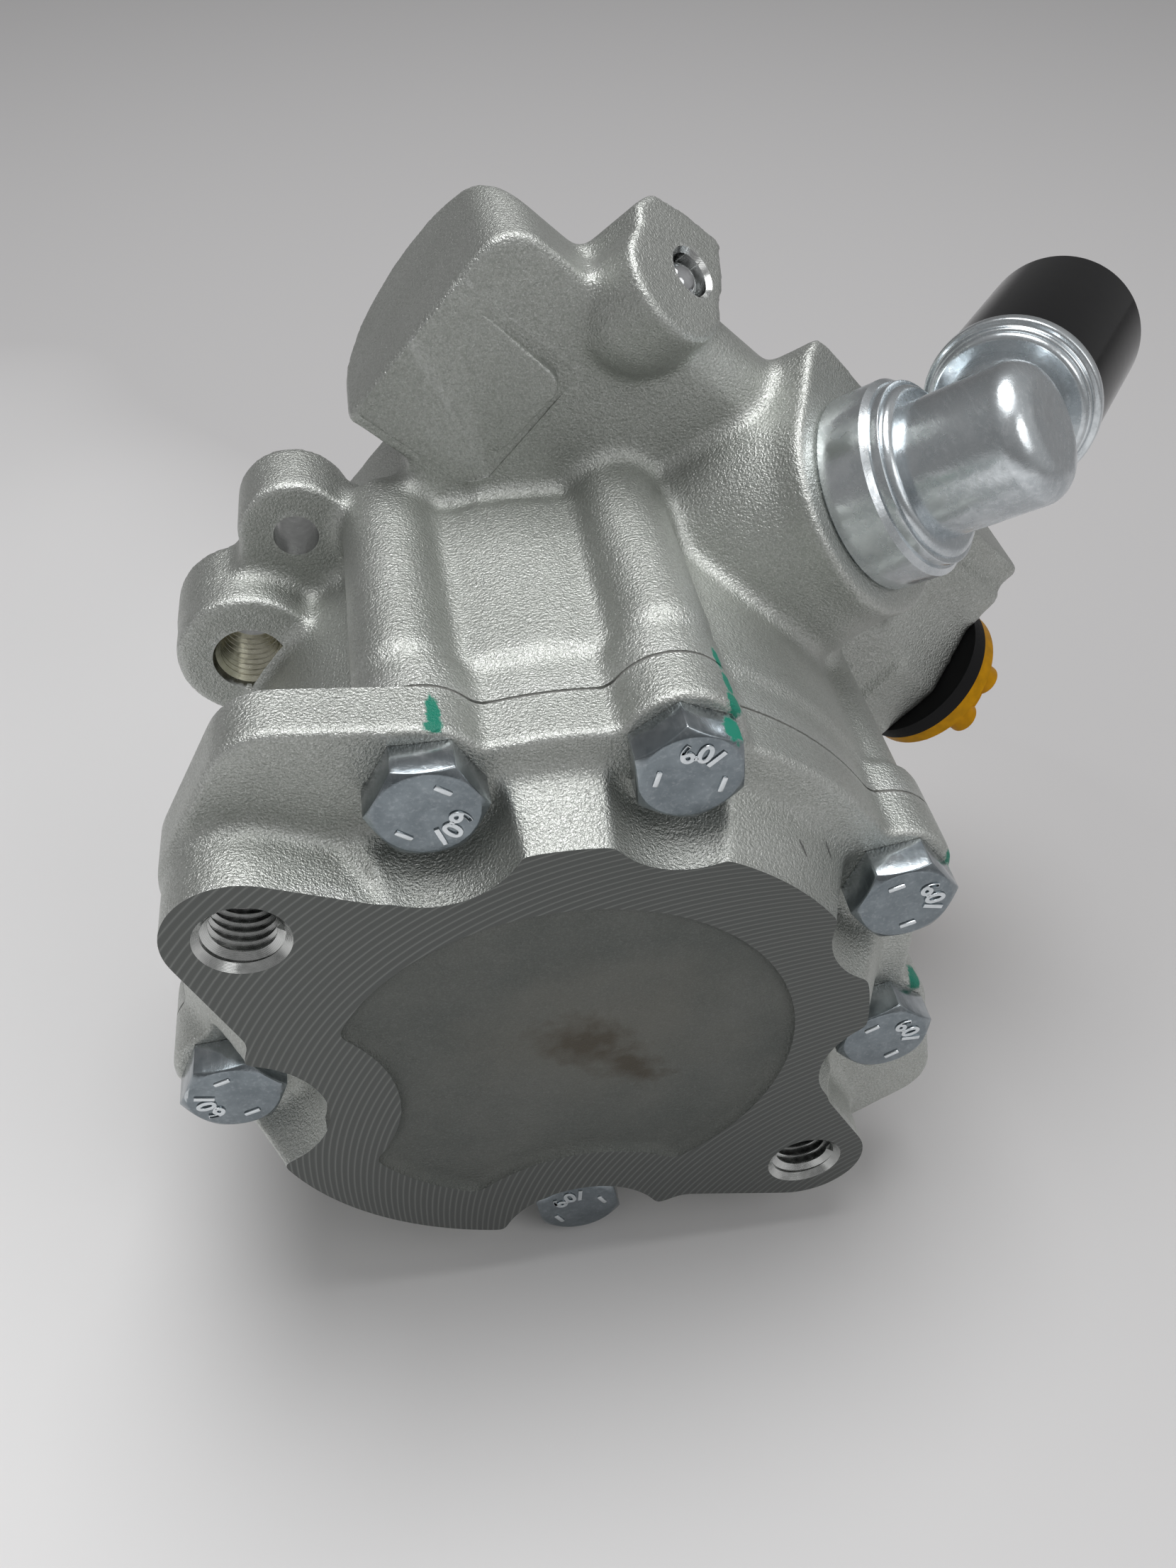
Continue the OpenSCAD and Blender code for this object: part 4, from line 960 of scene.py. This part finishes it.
# %% Finishes of the CAD pieces
fitting_zinc = zinc_plate("fitting_zinc", (0.56, 0.60, 0.625), (0.82, 0.86, 0.885), 0.16, 0.32)
ground_steel = turned_steel("ground_steel", (0.52, 0.53, 0.54), (0.66, 0.67, 0.68), 0.18, 0.32)
polished_steel = turned_steel("polished_steel", (0.46, 0.47, 0.48), (0.60, 0.61, 0.62), 0.05, 0.12)
sintered_iron = turned_steel("sintered_iron", (0.30, 0.30, 0.31), (0.42, 0.42, 0.43), 0.38, 0.55)
bush_bronze = turned_steel("bush_bronze", (0.50, 0.33, 0.16), (0.66, 0.46, 0.24), 0.28, 0.42)
spring_wire = turned_steel("spring_wire", (0.24, 0.24, 0.26), (0.36, 0.36, 0.38), 0.30, 0.42)
seal_rubber = plastic("seal_rubber", (0.012, 0.012, 0.013), 0.48, 0.62, 1500.0, specular=0.12)
gasket_sheet = plastic("gasket_sheet", (0.20, 0.20, 0.19), 0.6, 0.8, 2500.0)
cap_black = plastic("cap_black", (0.003, 0.003, 0.0035), 0.07, 0.13, specular=0.08)
plug_yellow = plastic("plug_yellow", (0.70, 0.33, 0.002), 0.36, 0.48, specular=0.1)
FINISHES = {
    fitting_zinc: ["suction_collar", "suction_elbow", "suction_nipple", "outlet_union", "drive_hub"],
    polished_steel: ["ball_plug", "bearing_balls"],
    ground_steel: ["control_spool", "shaft", "bearing_outer_race", "bearing_inner_race", "dowel_pins"]
    + ["vane_%d" % number for number in range(1, 11)],
    sintered_iron: ["rotor", "cam_ring", "rear_pressure_plate", "front_side_plate"],
    bush_bronze: ["rear_bush", "bearing_cage"],
    spring_wire: ["spool_spring", "plate_spring", "bearing_circlip"],
    seal_rubber: ["cover_o_ring", "suction_o_ring", "outlet_seal", "shaft_seal"],
    cap_black: ["suction_cap"], plug_yellow: ["outlet_cap"],
}
dress(gasket, gasket_sheet)
for ring in rings:
    dress(ring, fitting_zinc)
for finish, pieces in FINISHES.items():
    for piece in pieces:
        for slot in nodes[piece].material_slots:
            slot.link = "OBJECT"
            slot.material = finish
finished = {name for names in FINISHES.values() for name in names}
left_over = set(nodes) - finished - {"housing", "rear_cover", "cover_bolts", "cover_gasket"}
print("finished", len(finished), "CAD pieces; without a finish:", sorted(left_over))

# %% [markdown]
# The stage is a plain pale floor under the pump's lowest point. It is painted darker towards the back and the right, a
# painted falloff of the light, so its colour is a ramp along both directions, broken up by a very broad noise.

# %% Pale floor
let_go()
bpy.ops.mesh.primitive_plane_add(size=6, location=(0, 0, cad_low.z - 0.0005))
bpy.ops.object.transform_apply(location=True, rotation=True, scale=True)
floor = bpy.context.object
floor.name = "pale_floor"
floor_finish, tree, shader, place = new_finish("pale_floor", 0.0, 0.2)
mottle = add(tree, "TexNoise", {"Vector": place, "Scale": 3.0, "Detail": 2.0}).outputs["Fac"]
apart = add(tree, "SeparateXYZ", {"Vector": place})
run = math_node(tree, "MULTIPLY_ADD", apart.outputs["X"], 2.2, mottle)
run = math_node(tree, "MULTIPLY_ADD", apart.outputs["Y"], 2.2, run)
# Painted falloff of the light: darker towards the back and the right.
floor_falloff_shade = ramp(tree, run, [(0.2, (0.88, 0.875, 0.877)), (0.9, (0.52, 0.513, 0.517))])
tree.links.new(floor_falloff_shade, shader.inputs["Base Color"])
shader.inputs["Roughness"].default_value = 0.7
dress(floor, floor_finish)
print("floor at", round(cad_low.z / MM - 0.5, 1), "mm")

# %% [markdown]
# A broad soft lamp hangs overhead and a little behind, so that the tops are bright and the face towards us is a calm
# grey; a weak one stands in front on the right. The world is a pale room, brightest overhead and on the right and
# darker low down and at the back, because metal shows what stands around it and looks flat in an even light.

# %% Lamps and room
AIM = Vector((0.02, 0.05, 0.02))


def soft_lamp(name, place, size, power):
    """A round area lamp that looks at the pump, sizes in metres."""
    lamp = bpy.data.lights.new(name, "AREA")
    lamp.shape, lamp.size, lamp.energy = "DISK", size, power
    holder = bpy.data.objects.new(name, lamp)
    bpy.context.scene.collection.objects.link(holder)
    holder.location = place
    holder.rotation_euler = (Vector(place) - AIM).to_track_quat("Z", "Y").to_euler()


soft_lamp("ceiling_lamp", (0.0, 0.19, 0.90), 0.6, 5.7)
soft_lamp("front_lamp", (0.55, -0.60, 0.80), 0.7, 1.7)
world = bpy.data.worlds.new("pale_room")
bpy.context.scene.world = world
world.use_nodes = True
sky = world.node_tree
around = add(sky, "SeparateXYZ", {"Vector": sky.nodes.new("ShaderNodeTexCoord").outputs["Generated"]})


def room_shade(axis, stops):
    """Brightness of the room along one axis, from 0 at its low end to 1 at its high end."""
    return ramp(sky, math_node(sky, "MULTIPLY_ADD", around.outputs[axis], 0.5, 0.5), stops)


tall = room_shade("Z", [(0.40, 0.38), (0.62, 0.47), (0.95, 0.70)])
far = room_shade("Y", [(0.1, 0.95), (0.5, 1.0), (0.9, 0.75)])
side = room_shade("X", [(0.1, 0.55), (0.55, 0.55), (0.85, 0.8), (1.0, 1.0)])
room = blend_colour(sky, 1.0, blend_colour(sky, 1.0, tall, far, "MULTIPLY"), side, "MULTIPLY")
sky.links.new(room, sky.nodes["Background"].inputs["Color"])
sky.nodes["Background"].inputs["Strength"].default_value = 0.97
print("lamps:", [light.name for light in bpy.data.lights])
